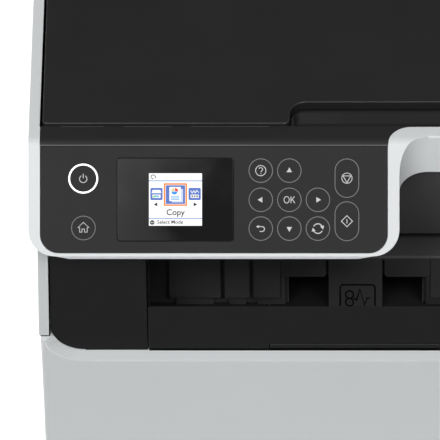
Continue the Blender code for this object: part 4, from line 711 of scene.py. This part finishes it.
bar_x = (bar_low.x + bar_high.x) / 2
BAR_END = 6 * MM
optics = (("scan_lens", 3 * MM, 2.2 * MM, ink_look), ("scan_light_guide", -3 * MM, 3.4 * MM, mark_white))
for name, offset, width, look in optics:
    ends = [(bar_x + offset, bar_low.y + BAR_END), (bar_x + offset, bar_high.y - BAR_END)]
    faces = [list(reversed(patch)) for patch in stroke(ends, width)]
    printed(name, faces, on_bar, look, "scan_head")


# ---- Finger scoop under the lid's notch ----------------------------------------------------------
# Behind the notch in the lid the deck rolls down into a shallow scoop that fingertips reach into.
# It is a darker copy of the deck's black, as painted shade in the hollow, and follows the notch's
# outline with a small gap.
lid_low, lid_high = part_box("document_lid")
NOTCH_HALF, NOTCH_TURN, NOTCH_DEPTH = 59.4 * MM, 8.4 * MM, 15 * MM
SCOOP_GAP, SCOOP_FRONT = 0.7 * MM, 0.8 * MM
SCOOP_ACROSS, SCOOP_DOWN = 72, 16
SCOOP_START, SCOOP_FALL, SCOOP_TILT = 4.2 * MM, 4.6 * MM, 0.7 * MM  # down from the lid's top
ROLL_SHARE = 0.52  # the part of the way forward that the roll takes up


def notch_back(x):
    """How far back the lid's notch reaches at a place across the printer, less the gap."""
    inward = min(max((NOTCH_HALF - abs(x)) / NOTCH_TURN, 0.0), 1.0)
    hollow = NOTCH_TURN * (1 - math.sqrt(1 - (1 - inward) ** 2))
    return lid_low.y + NOTCH_DEPTH - hollow - SCOOP_GAP


def scoop_height(share, depth):
    """Height of the scoop: a roll at its back, then a nearly flat floor that ends at the black strip."""
    roll = 0.5 - 0.5 * math.cos(math.pi * min(share / ROLL_SHARE, 1.0))
    return lid_high.z - SCOOP_START - SCOOP_FALL * roll * depth - SCOOP_TILT * share


shape = bmesh.new()
rows = []
for j in range(SCOOP_DOWN + 1):
    share = j / SCOOP_DOWN
    row = []
    for i in range(SCOOP_ACROSS + 1):
        x = (-NOTCH_HALF + 2 * NOTCH_HALF * i / SCOOP_ACROSS) * (1 - SCOOP_GAP / NOTCH_HALF)
        back = notch_back(x)
        depth = (back - lid_low.y + SCOOP_GAP) / NOTCH_DEPTH
        y = back + (lid_low.y - SCOOP_FRONT - back) * share
        row.append(shape.verts.new((x, y, scoop_height(share, depth))))
    rows.append(row)
for upper, lower in zip(rows, rows[1:]):
    for i in range(SCOOP_ACROSS):
        shape.faces.new((upper[i], lower[i], lower[i + 1], upper[i + 1]))
# Painted shade: a darker black than the deck's, for the hollow of the scoop.
scoop_painted_shade_black = moulded("scoop_painted_shade_black", (0.0075, 0.0075, 0.0077), 0.55, gloss=0.16)
mesh = meshed("finger_scoop", shape, scoop_painted_shade_black)
mesh.shade_smooth()
scoop = fitted("finger_scoop", mesh, "scanner")
wall = scoop.modifiers.new("wall", "SOLIDIFY")
wall.thickness = 1.2 * MM
wall.offset = -1


# ---- Low stops along the front of the deck -------------------------------------------------------
# Thin ribs, three on the left and two on the right, stand in the slit in front of the lid. They are
# drawn whole in a lighter black than the deck, as painted highlight where they catch the light.
deck_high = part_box("scanner_deck")[1]
rib_highlight = moulded("rib_black_painted_highlight", (0.060, 0.060, 0.062), 0.4, relief=0.003 * MM)
RIBS = ((-171.6, -150.6), (-140.9, -117.4), (-107.8, -69.6))
RIB_THICK, RIB_TALL, RIB_DOWN = 0.42 * MM, 2.0 * MM, 0.9 * MM
slit_y = lid_low.y - 0.5 * MM
for side, sign, ribs in (("left", 1, RIBS), ("right", -1, RIBS[:2])):
    for number, (start, stop) in enumerate(ribs):
        centre = (sign * (start + stop) / 2 * MM, slit_y, deck_high.z - RIB_DOWN)
        size = (abs(stop - start) * MM, RIB_THICK, RIB_TALL)
        bar_row(f"deck_stop_{side}_{number}", 1, centre, NO_STEP, size, rib_highlight, "scanner")


# ---- Document lid and its pad --------------------------------------------------------------------
# A large flat black shell with a leather-fine grain, moulded in one with its notch.
# The pad under it is white sheet on foam.
lid_black = moulded("lid_black", (0.0190, 0.0190, 0.0195), 0.54, grain=0.6 * MM, relief=0.02 * MM, gloss=0.36)
softened("document_lid", lid_black, black_edge_wear_and_highlight, 0.6 * MM, 3)
sheet = moulded("white_pad_sheet", (0.82, 0.82, 0.80), 0.6, grain=1.2 * MM, relief=0.02 * MM, mottle=0.01)
softened("lid_pad", sheet, None, 0.8 * MM)


# ---- Control panel plate and display window ------------------------------------------------------
# The plate is satin black with a fine sparkle grain. The display window is glossy black acrylic set
# into it, flush, and the lit screen shows through its middle.
PANEL_BLACK = (0.0135, 0.0135, 0.0138)
panel_black = moulded("panel_satin_black", PANEL_BLACK, 0.44, grain=0.5 * MM, relief=0.02 * MM, gloss=0.2)
softened("panel_plate", panel_black, black_edge_wear_and_highlight, 0.2 * MM)
acrylic = moulded("glossy_black_acrylic", (0.0085, 0.0085, 0.0088), 0.055, relief=0.0004 * MM, mottle=0.02)
softened("display_window", acrylic, None, 0.25 * MM)
SLOPE = math.radians(45)
PLATE = 2.0 * MM
SCREEN_TRAVEL = 52.5 * MM  # from the panel's lower edge to the plate's upper edge, up the slope
up = Vector((0, math.cos(SLOPE), math.sin(SLOPE)))
out = Vector((0, -math.sin(SLOPE), math.cos(SLOPE)))
plate_top = Vector((0, plate_high.y - PLATE * math.sin(SLOPE), plate_high.z))


def surface(lift, x=0.0, t=0.0):
    """A function that places points on the panel: lift above its face, from a point x across and t up."""
    def place(across, along):
        """The point itself, further across and up by the two measures given."""
        return plate_top + Vector((x + across, 0, 0)) + up * (t + along - SCREEN_TRAVEL) + out * lift
    return place


def face_lift(node):
    """How far a node's outer face stands above the plate's face."""
    return max((vertex.co - plate_top).dot(out) for vertex in nodes[node].data.vertices)


# Painted highlight: a thin lighter line along the panel's upper edge, where the edge catches the light.
brow_highlight = moulded("brow_edge_painted_highlight", (0.085, 0.085, 0.087), 0.4, relief=0.002 * MM)
EDGE_LINE = 0.5 * MM
edge_t = SCREEN_TRAVEL + EDGE_LINE
edge_run = stroke([(plate_low.x - 0.2 * MM, edge_t), (plate_high.x + 0.2 * MM, edge_t)], EDGE_LINE)
printed("brow_painted_highlight_line", edge_run, surface(0.06 * MM), brow_highlight, "scanner")


# ---- Keys ----------------------------------------------------------------------------------------
# Twelve keys in the plate's own material. A thin grey ring is printed round each face, with a pale
# symbol in the middle. Thin webs of the key mat show in the gaps. The power key has a lit ring.
ARROW_KEYS = ("up", "down", "left", "right", "repeat")
SYMBOL = 0.88  # the symbols are a little smaller than they are drawn below
print_grey = moulded("key_ring_print", (0.21, 0.21, 0.21), 0.5, relief=0.001 * MM)
print_pale = moulded("key_symbol_print", (0.62, 0.62, 0.62), 0.5, relief=0.001 * MM)


def lit(name, colour, strength):
    """Ink or a light guide that glows evenly; a trace of base colour keeps its gloss."""
    material, shader = blank(name)
    filled(shader, {
        "Base Color": (*[c * 0.05 for c in colour], 1),
        "Roughness": 0.25,
        "Emission Color": (*colour, 1),
        "Emission Strength": strength,
    })
    return material


LINE, ICON, THICK = 0.34 * MM, 0.42 * MM, 0.5 * MM  # widths of printed lines
WEB_GAP = 0.03 * MM
BUTTON_GAP = 0.35 * MM


def triangle(size, turn):
    """A filled arrow head that points along turn."""
    corners = [turn + k * 2 * math.pi / 3 for k in range(3)]
    return [[(size * math.cos(a), size * math.sin(a)) for a in corners]]


def pill(radius, length):
    """Outline of a key that may be stretched up the slope."""
    if length == 0:
        return ring(0, 0, radius)
    top = ring(0, length / 2, radius, 0, math.pi, 24)
    return top + ring(0, -length / 2, radius, math.pi, math.pi, 24)


def power_icon():
    """An open ring with a bar in its gap."""
    lines = stroke(ring(0, -0.2 * MM, 2.05 * MM, math.radians(122), math.radians(296), 30), ICON)
    return lines + stroke([(0, 0.1 * MM), (0, 2.7 * MM)], ICON)


def home_icon():
    """The outline of a house with a door."""
    roof = [(-3.1, 0.2), (0, 3.1), (3.1, 0.2), (2.1, 0.2), (2.1, -2.3), (0.6, -2.3)]
    roof += [(0.6, -0.6), (-0.8, -0.6), (-0.8, -2.3), (-2.1, -2.3), (-2.1, 0.2)]
    return stroke([(x * MM, y * MM) for x, y in roof], LINE, True)


def help_icon():
    """A question mark in a ring."""
    lines = stroke(ring(0, 0, 2.85 * MM), ICON, True)
    hook = ring(0, 0.7 * MM, 1.0 * MM, math.radians(160), math.radians(-215), 14)
    lines += stroke([*hook, (0, -0.75 * MM)], ICON)
    return lines + [ring(0, -1.55 * MM, 0.28 * MM, 0, 2 * math.pi, 12)]


def back_icon():
    """An arrow that turns back to the left."""
    bend = ring(0.7 * MM, -0.25 * MM, 1.35 * MM, math.pi / 2, -math.pi, 14)
    lines = stroke([(-1.4 * MM, 1.1 * MM), *bend, (-0.6 * MM, -1.6 * MM)], THICK)
    head = [(x - 1.6 * MM, y + 1.1 * MM) for x, y in triangle(1.0 * MM, math.pi)[0]]
    return lines + [head]


def repeat_icon():
    """Two arrows that chase each other round a circle."""
    lines = []
    for half_turn in (0.0, math.pi):
        lines += stroke(ring(0, 0, 2.35 * MM, half_turn + 0.55, 2.1, 16), THICK)
        tip = ring(0, 0, 2.35 * MM, half_turn + 0.3, 0.001, 1)[0]
        head = triangle(1.15 * MM, half_turn - math.pi / 2 + 0.25)[0]
        lines += [[(x + tip[0], y + tip[1]) for x, y in head]]
    return lines


def ok_icon():
    """The two letters in thin strokes."""
    round_letter = [(x * 1.45 - 1.5 * MM, y * 1.8) for x, y in ring(0, 0, 1.0 * MM)]
    lines = stroke(round_letter, ICON, True) + stroke([(0.9 * MM, -1.9 * MM), (0.9 * MM, 1.9 * MM)], ICON)
    lines += stroke([(1.0 * MM, -0.4 * MM), (2.9 * MM, 1.9 * MM)], ICON)
    return lines + stroke([(1.6 * MM, 0.3 * MM), (3.1 * MM, -1.9 * MM)], ICON)


def stop_icon():
    """A triangle in a ring."""
    lines = stroke(ring(0, 0, 2.85 * MM), ICON, True)
    corners = ring(0, 0, 2.5 * MM, -math.pi / 2, 2 * math.pi, 3)
    return lines + stroke(corners, ICON, True)


def start_icon():
    """A bar in a diamond."""
    lines = stroke(ring(0, 0, 3.1 * MM, 0, 2 * math.pi, 4), ICON, True)
    return lines + stroke([(0, -1.25 * MM), (0, 1.25 * MM)], ICON)


BOLD = 0.014  # how much the strokes of letters are thickened, as a share of their size


def lettered(name, words, size, place, material, body):
    """A word set in a plain face, made a flat mesh and placed about its own middle."""
    text = bpy.data.curves.new(name, "FONT")
    text.body = words
    text.size = size
    text.offset = size * BOLD
    text.align_x = "CENTER"
    text.align_y = "CENTER"
    carrier = placed(name + "_text", text)
    bpy.context.view_layer.update()
    scene_now = bpy.context.evaluated_depsgraph_get()
    mesh = bpy.data.meshes.new_from_object(carrier.evaluated_get(scene_now))
    bpy.data.objects.remove(carrier)
    for vertex in mesh.vertices:
        vertex.co = place(vertex.co.x, vertex.co.y)
    mesh.materials.clear()
    mesh.materials.append(material)
    return fitted(name, mesh, body)


ARROW = 1.55 * MM
KEYS = (  # name, across, up the slope, radius, stretch, symbol
    ("power", -160.5, 36.7, 7.4, 0, power_icon),
    ("home", -160.4, 12.5, 6.0, 0, home_icon),
    ("help", -73.5, 40.6, 5.95, 0, help_icon),
    ("up", -59.5, 40.6, 5.95, 0, lambda: triangle(ARROW, math.pi / 2)),
    ("left", -73.5, 26.3, 5.95, 0, lambda: triangle(ARROW, math.pi)),
    ("ok", -59.5, 26.3, 5.95, 0, ok_icon),
    ("right", -45.5, 26.3, 5.95, 0, lambda: triangle(ARROW, 0)),
    ("back", -73.5, 12.2, 5.95, 0, back_icon),
    ("down", -59.5, 12.2, 5.95, 0, lambda: triangle(ARROW, -math.pi / 2)),
    ("repeat", -45.5, 12.2, 5.95, 0, repeat_icon),
    ("stop", -31.3, 36.9, 6.0, 7.2, stop_icon),
    ("start", -31.3, 15.8, 6.0, 7.4, start_icon),
)
power_light = lit("power_ring_light", (1.0, 1.0, 1.0), 1.6)
GLOW_WIDE, GLOW_IN, WEB_DOWN = 0.85 * MM, 0.5 * MM, 0.06 * MM
for name, x, t, radius, stretch, symbol in KEYS:
    node, body = name + "_button", name + "_key"
    softened(node, panel_black, None, 0.18 * MM)
    face = surface(face_lift(node) + INK_LIFT, x * MM, t * MM)
    web = stroke(pill(radius * MM + BUTTON_GAP / 2, stretch * MM), BUTTON_GAP - 2 * WEB_GAP, True)
    web_place = surface(-WEB_DOWN, x * MM, t * MM)
    printed(name + "_web", web, web_place, panel_black, "scanner")
    if name == "power":
        glow = stroke(pill(radius * MM - GLOW_IN, 0), GLOW_WIDE, True)
        printed("power_ring", glow, face, power_light, body)
    else:
        edge = stroke(pill(radius * MM - LINE / 2, stretch * MM), LINE, True)
        printed(name + "_ring", edge, face, print_grey, body)
    size = 1.0 if name in ARROW_KEYS else SYMBOL
    lines = [[(x * size, y * size) for x, y in patch] for patch in symbol()]
    printed(name + "_symbol", lines, face, print_pale, body)


# ---- Screen --------------------------------------------------------------------------------------
# A small colour display glows through the window: a white page with three mode pictures in blue, the
# middle one framed in orange, and the mode's name below. Each layer lies just above the last.
SCREEN_X, SCREEN_T = -115.3 * MM, 26.45 * MM
SCREEN_W, SCREEN_H = 26.0 * MM, 25.7 * MM
FIRST_LIFT, LAYER_STEP = 0.02, 0.012  # in millimetres, over the window
PAGE_GLOW = 1.05
window_lift = face_lift("display_window")


def layer_place(number, x=0.0, t=0.0):
    """Where a layer of the screen's picture lies, with an offset from the screen's middle."""
    return surface(window_lift + (FIRST_LIFT + LAYER_STEP * number) * MM, SCREEN_X + x, SCREEN_T + t)


def plain_box(x, y, w, h):
    """A rectangle about its middle."""
    return [(x - w / 2, y - h / 2), (x + w / 2, y - h / 2), (x + w / 2, y + h / 2), (x - w / 2, y + h / 2)]


BLUE, ORANGE, WHITE_PAGE = (0.085, 0.17, 0.56), (0.93, 0.26, 0.03), (1.0, 1.0, 1.0)
half_h = SCREEN_H / 2 / MM
page = plain_box(0, 0, SCREEN_W / MM, SCREEN_H / MM)
rules = [plain_box(0, half_h - 3.7, 26.0, 0.5), plain_box(0, -half_h + 3.6, 26.0, 0.5)]
side_modes = [round_box((cx - 3.0, -0.3), (cx + 3.0, 5.7), 0.6, 3) for cx in (-9.3, 9.4)]
frame_box = round_box((-5.75, -3.15), (5.75, 8.0), 0.4, 3)
pie_red = [(-0.3, 4.0), *ring(-0.3, 4.0, 1.7, 0, math.pi / 2, 8)]
pie_blue = [(-0.5, 3.9), *ring(-0.5, 3.9, 1.5, math.pi, math.pi, 10)]
pie_green = [(-0.6, 4.1), *ring(-0.6, 4.1, 1.5, math.pi / 2, math.pi / 2, 6)]
text_lines = [plain_box(-0.2, y, 4.2, 0.4) for y in (1.4, 0.7, 0.0)]
scanner_picture = [[(-11.2, 4.7), (-11.7, 3.1), (-6.9, 3.1), (-7.4, 4.7)], plain_box(-9.3, 1.6, 4.0, 1.7)]
wave = [(7.4, 4.4), (8.2, 3.2), (9.0, 4.3), (9.7, 3.2), (10.4, 4.5), (11.4, 3.4)]
side_pictures = scanner_picture + stroke(wave, 0.35) + [plain_box(9.4, 1.6, 4.0, 1.6)]
picture_dot = ring(-10.6, 1.4, 0.5, 0, 2 * math.pi, 10)
picture_keys = [plain_box(9.4 + k * 1.2, 1.6, 0.75, 0.8) for k in (-1, 0, 1)]
arrows = [[(-10.7, -2.4), (-8.9, -3.4), (-8.9, -1.4)], [(8.9, -1.4), (8.9, -3.4), (10.7, -2.4)]]
badge = ring(-11.4, -half_h + 1.6, 1.15, 0, 2 * math.pi, 20)
badge_letters = [plain_box(x, -half_h + 1.6, 0.5, 0.5) for x in (-11.8, -11.0)]
corner_icon = stroke(ring(-10.9, half_h - 1.9, 1.1, -0.6, 4.4, 14), 0.42)
corner_icon += [[(-11.6, half_h - 3.1), (-10.6, half_h - 2.6), (-11.5, half_h - 2.2)]]
picture = (  # name, colour, patches in millimetres from the screen's middle, the lowest layer first
    ("page", WHITE_PAGE, [page]),
    ("rules", (0.25, 0.36, 0.68), rules),
    ("side_modes", BLUE, side_modes),
    ("frame", ORANGE, [frame_box]),
    ("frame_inner", (0.9, 0.92, 1.0), [plain_box(0, 2.4, 9.9, 9.6)]),
    ("main_mode", BLUE, [plain_box(0, 2.4, 9.4, 9.1)]),
    ("second_page", (0.62, 0.70, 0.90), [plain_box(0.9, 1.9, 5.6, 6.6)]),
    ("front_page", WHITE_PAGE, [plain_box(-0.2, 2.7, 5.6, 6.9)]),
    ("pie_red", (0.85, 0.06, 0.02), [pie_red]),
    ("pie_blue", (0.03, 0.30, 0.85), [pie_blue]),
    ("pie_green", (0.70, 0.62, 0.25), [pie_green]),
    ("text_lines", (0.10, 0.42, 0.80), text_lines),
    ("side_pictures", (0.95, 0.97, 1.0), side_pictures),
    ("picture_detail", (0.10, 0.55, 0.70), [plain_box(-9.3, 1.6, 2.4, 0.8)]),
    ("picture_dot", (0.30, 0.62, 0.05), [picture_dot]),
    ("picture_keys", (0.10, 0.10, 0.10), picture_keys),
    ("arrows", (0.01, 0.01, 0.01), [*arrows, badge]),
    ("corner_icon", (0.06, 0.06, 0.07), corner_icon),
    ("badge_letters", (0.9, 0.9, 0.9), badge_letters),
)
for number, (name, colour, patches) in enumerate(picture, 1):
    glow = lit(f"screen_{name}_light", colour, PAGE_GLOW if number == 1 else 1.0)
    scaled = [[(x * MM, y * MM) for x, y in patch] for patch in patches]
    printed("screen_" + name, scaled, layer_place(number), glow, "scanner")
text_light = lit("screen_text_light", (0.008, 0.008, 0.01), 1.0)
words = (
    ("screen_mode_name", "Copy", 4.1 * MM, 0.0, -6.4 * MM),
    ("screen_hint", "Select Mode", 2.55 * MM, -2.6 * MM, -SCREEN_H / 2 + 1.75 * MM),
)
for name, word, size, x, t in words:
    place = layer_place(len(picture) + 1, x, t)
    lettered(name, word, size, place, text_light, "scanner")


# ---- Room, light and camera ----------------------------------------------------------------------
# A pale floor, lit a little from below behind the printer, and three soft boxes: two high ones on
# either side of the front, and one beside the lens whose edge shows as the sheen on the display.
floor_mesh = bpy.data.meshes.new("floor")
REACH = 9.0
FLOOR_DARK_TO, FLOOR_PALE_FROM = -0.34, -0.04  # between these, going back, the floor turns pale
corners = [(-REACH, -REACH, 0), (REACH, -REACH, 0), (REACH, REACH, 0), (-REACH, REACH, 0)]
floor_mesh.from_pydata(corners, [], [(0, 1, 2, 3)])
floor = placed("floor", floor_mesh)
pale, pale_shader = blank("pale_floor")
pale_tree = pale.node_tree
filled(pale_shader, {
    "Base Color": (0.48, 0.48, 0.48, 1),
    "Roughness": 0.9,
    "Specular IOR Level": 0.1,
    "Emission Color": (1, 1, 1, 1),
})
floor_place = pale_tree.nodes.new("ShaderNodeTexCoord")
floor_axes = pale_tree.nodes.new("ShaderNodeSeparateXYZ")
floor_fade = pale_tree.nodes.new("ShaderNodeMapRange")
floor_fade.interpolation_type = "SMOOTHSTEP"
filled(floor_fade, {"From Min": FLOOR_DARK_TO, "From Max": FLOOR_PALE_FROM, "To Min": 0.06, "To Max": 1.0})
wire(floor_place, "Object", floor_axes, "Vector")
wire(floor_axes, "Y", floor_fade, "Value")
wire(floor_fade, "Result", pale_shader, "Emission Strength")
floor_mesh.materials.append(pale)

world = bpy.data.worlds.new("pale surround")
world.use_nodes = True
filled(world.node_tree.nodes["Background"], {"Color": (1.0, 1.0, 1.0, 1), "Strength": 0.10})
scene = bpy.context.scene
scene.world = world
scene.view_settings.view_transform = "Standard"
scene.view_settings.look = "None"

AIM = Vector((-93.5 * MM, -160.0 * MM, 272.1 * MM))


def soft_box(name, toward, distance, size, power, target=AIM):
    """An oblong area light at a direction and distance from the target, turned to face it."""
    light = bpy.data.lights.new(name, "AREA")
    light.shape = "RECTANGLE"
    light.size, light.size_y = size
    light.energy = power
    lamp = placed(name, light)
    lamp.location = target + Vector(toward).normalized() * distance
    lamp.rotation_euler = (target - lamp.location).to_track_quat("-Z", "Y").to_euler()
    return lamp


def stance(across, upward, back, spot):
    """The matrix of an object at a spot, with its own three axes along these directions."""
    turned = Matrix((across, upward, back)).transposed().to_4x4()
    turned.translation = spot
    return turned


soft_box("left_box", (-0.40, -0.51, 0.77), 3.0, (1.2, 1.2), 42)
soft_box("right_box", (0.40, -0.51, 0.77), 3.0, (1.2, 1.2), 37)

DISTANCE = 5.0
long_lens = bpy.data.cameras.new("long lens")
long_lens.lens = 835.0
long_lens.sensor_width = 36.0
long_lens.clip_end = 60.0
camera = placed("camera", long_lens)
standpoint = Vector((0.0, AIM.y - DISTANCE * math.cos(SLOPE), AIM.z + DISTANCE * math.sin(SLOPE)))
ahead = (AIM - standpoint).normalized()
level_right = (Vector((1, 0, 0)) - ahead * ahead.x).normalized()
upright = level_right.cross(ahead)
camera.matrix_world = stance(level_right, upright, -ahead, standpoint)
scene.camera = camera

SHEEN_DISTANCE, SHEEN_LONG, SHEEN_WIDE = 5.6, 3.4, 2.2
SHEEN_START = -0.03  # how far past the display's middle the sheen reaches, seen in the display
display_low, display_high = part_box("display_window")
display_middle = (display_low + display_high) / 2
toward = (display_middle - standpoint).normalized()
mirrored = toward - out * (2 * toward.dot(out))
SHEEN_LEAN = 0.45  # how far the sheen's edge leans over, across for each unit up
edge_along = (Vector((SHEEN_LEAN, 0, 0)) + up).normalized()
edge_across = (up * SHEEN_LEAN - Vector((1, 0, 0))).normalized()
sheen = soft_box("lens_box", mirrored, SHEEN_DISTANCE, (SHEEN_LONG, SHEEN_WIDE), 33, display_middle)
middle = sheen.location + edge_across * (SHEEN_WIDE / 2 - SHEEN_START)
sheen.matrix_world = stance(edge_along, edge_across, out, middle)
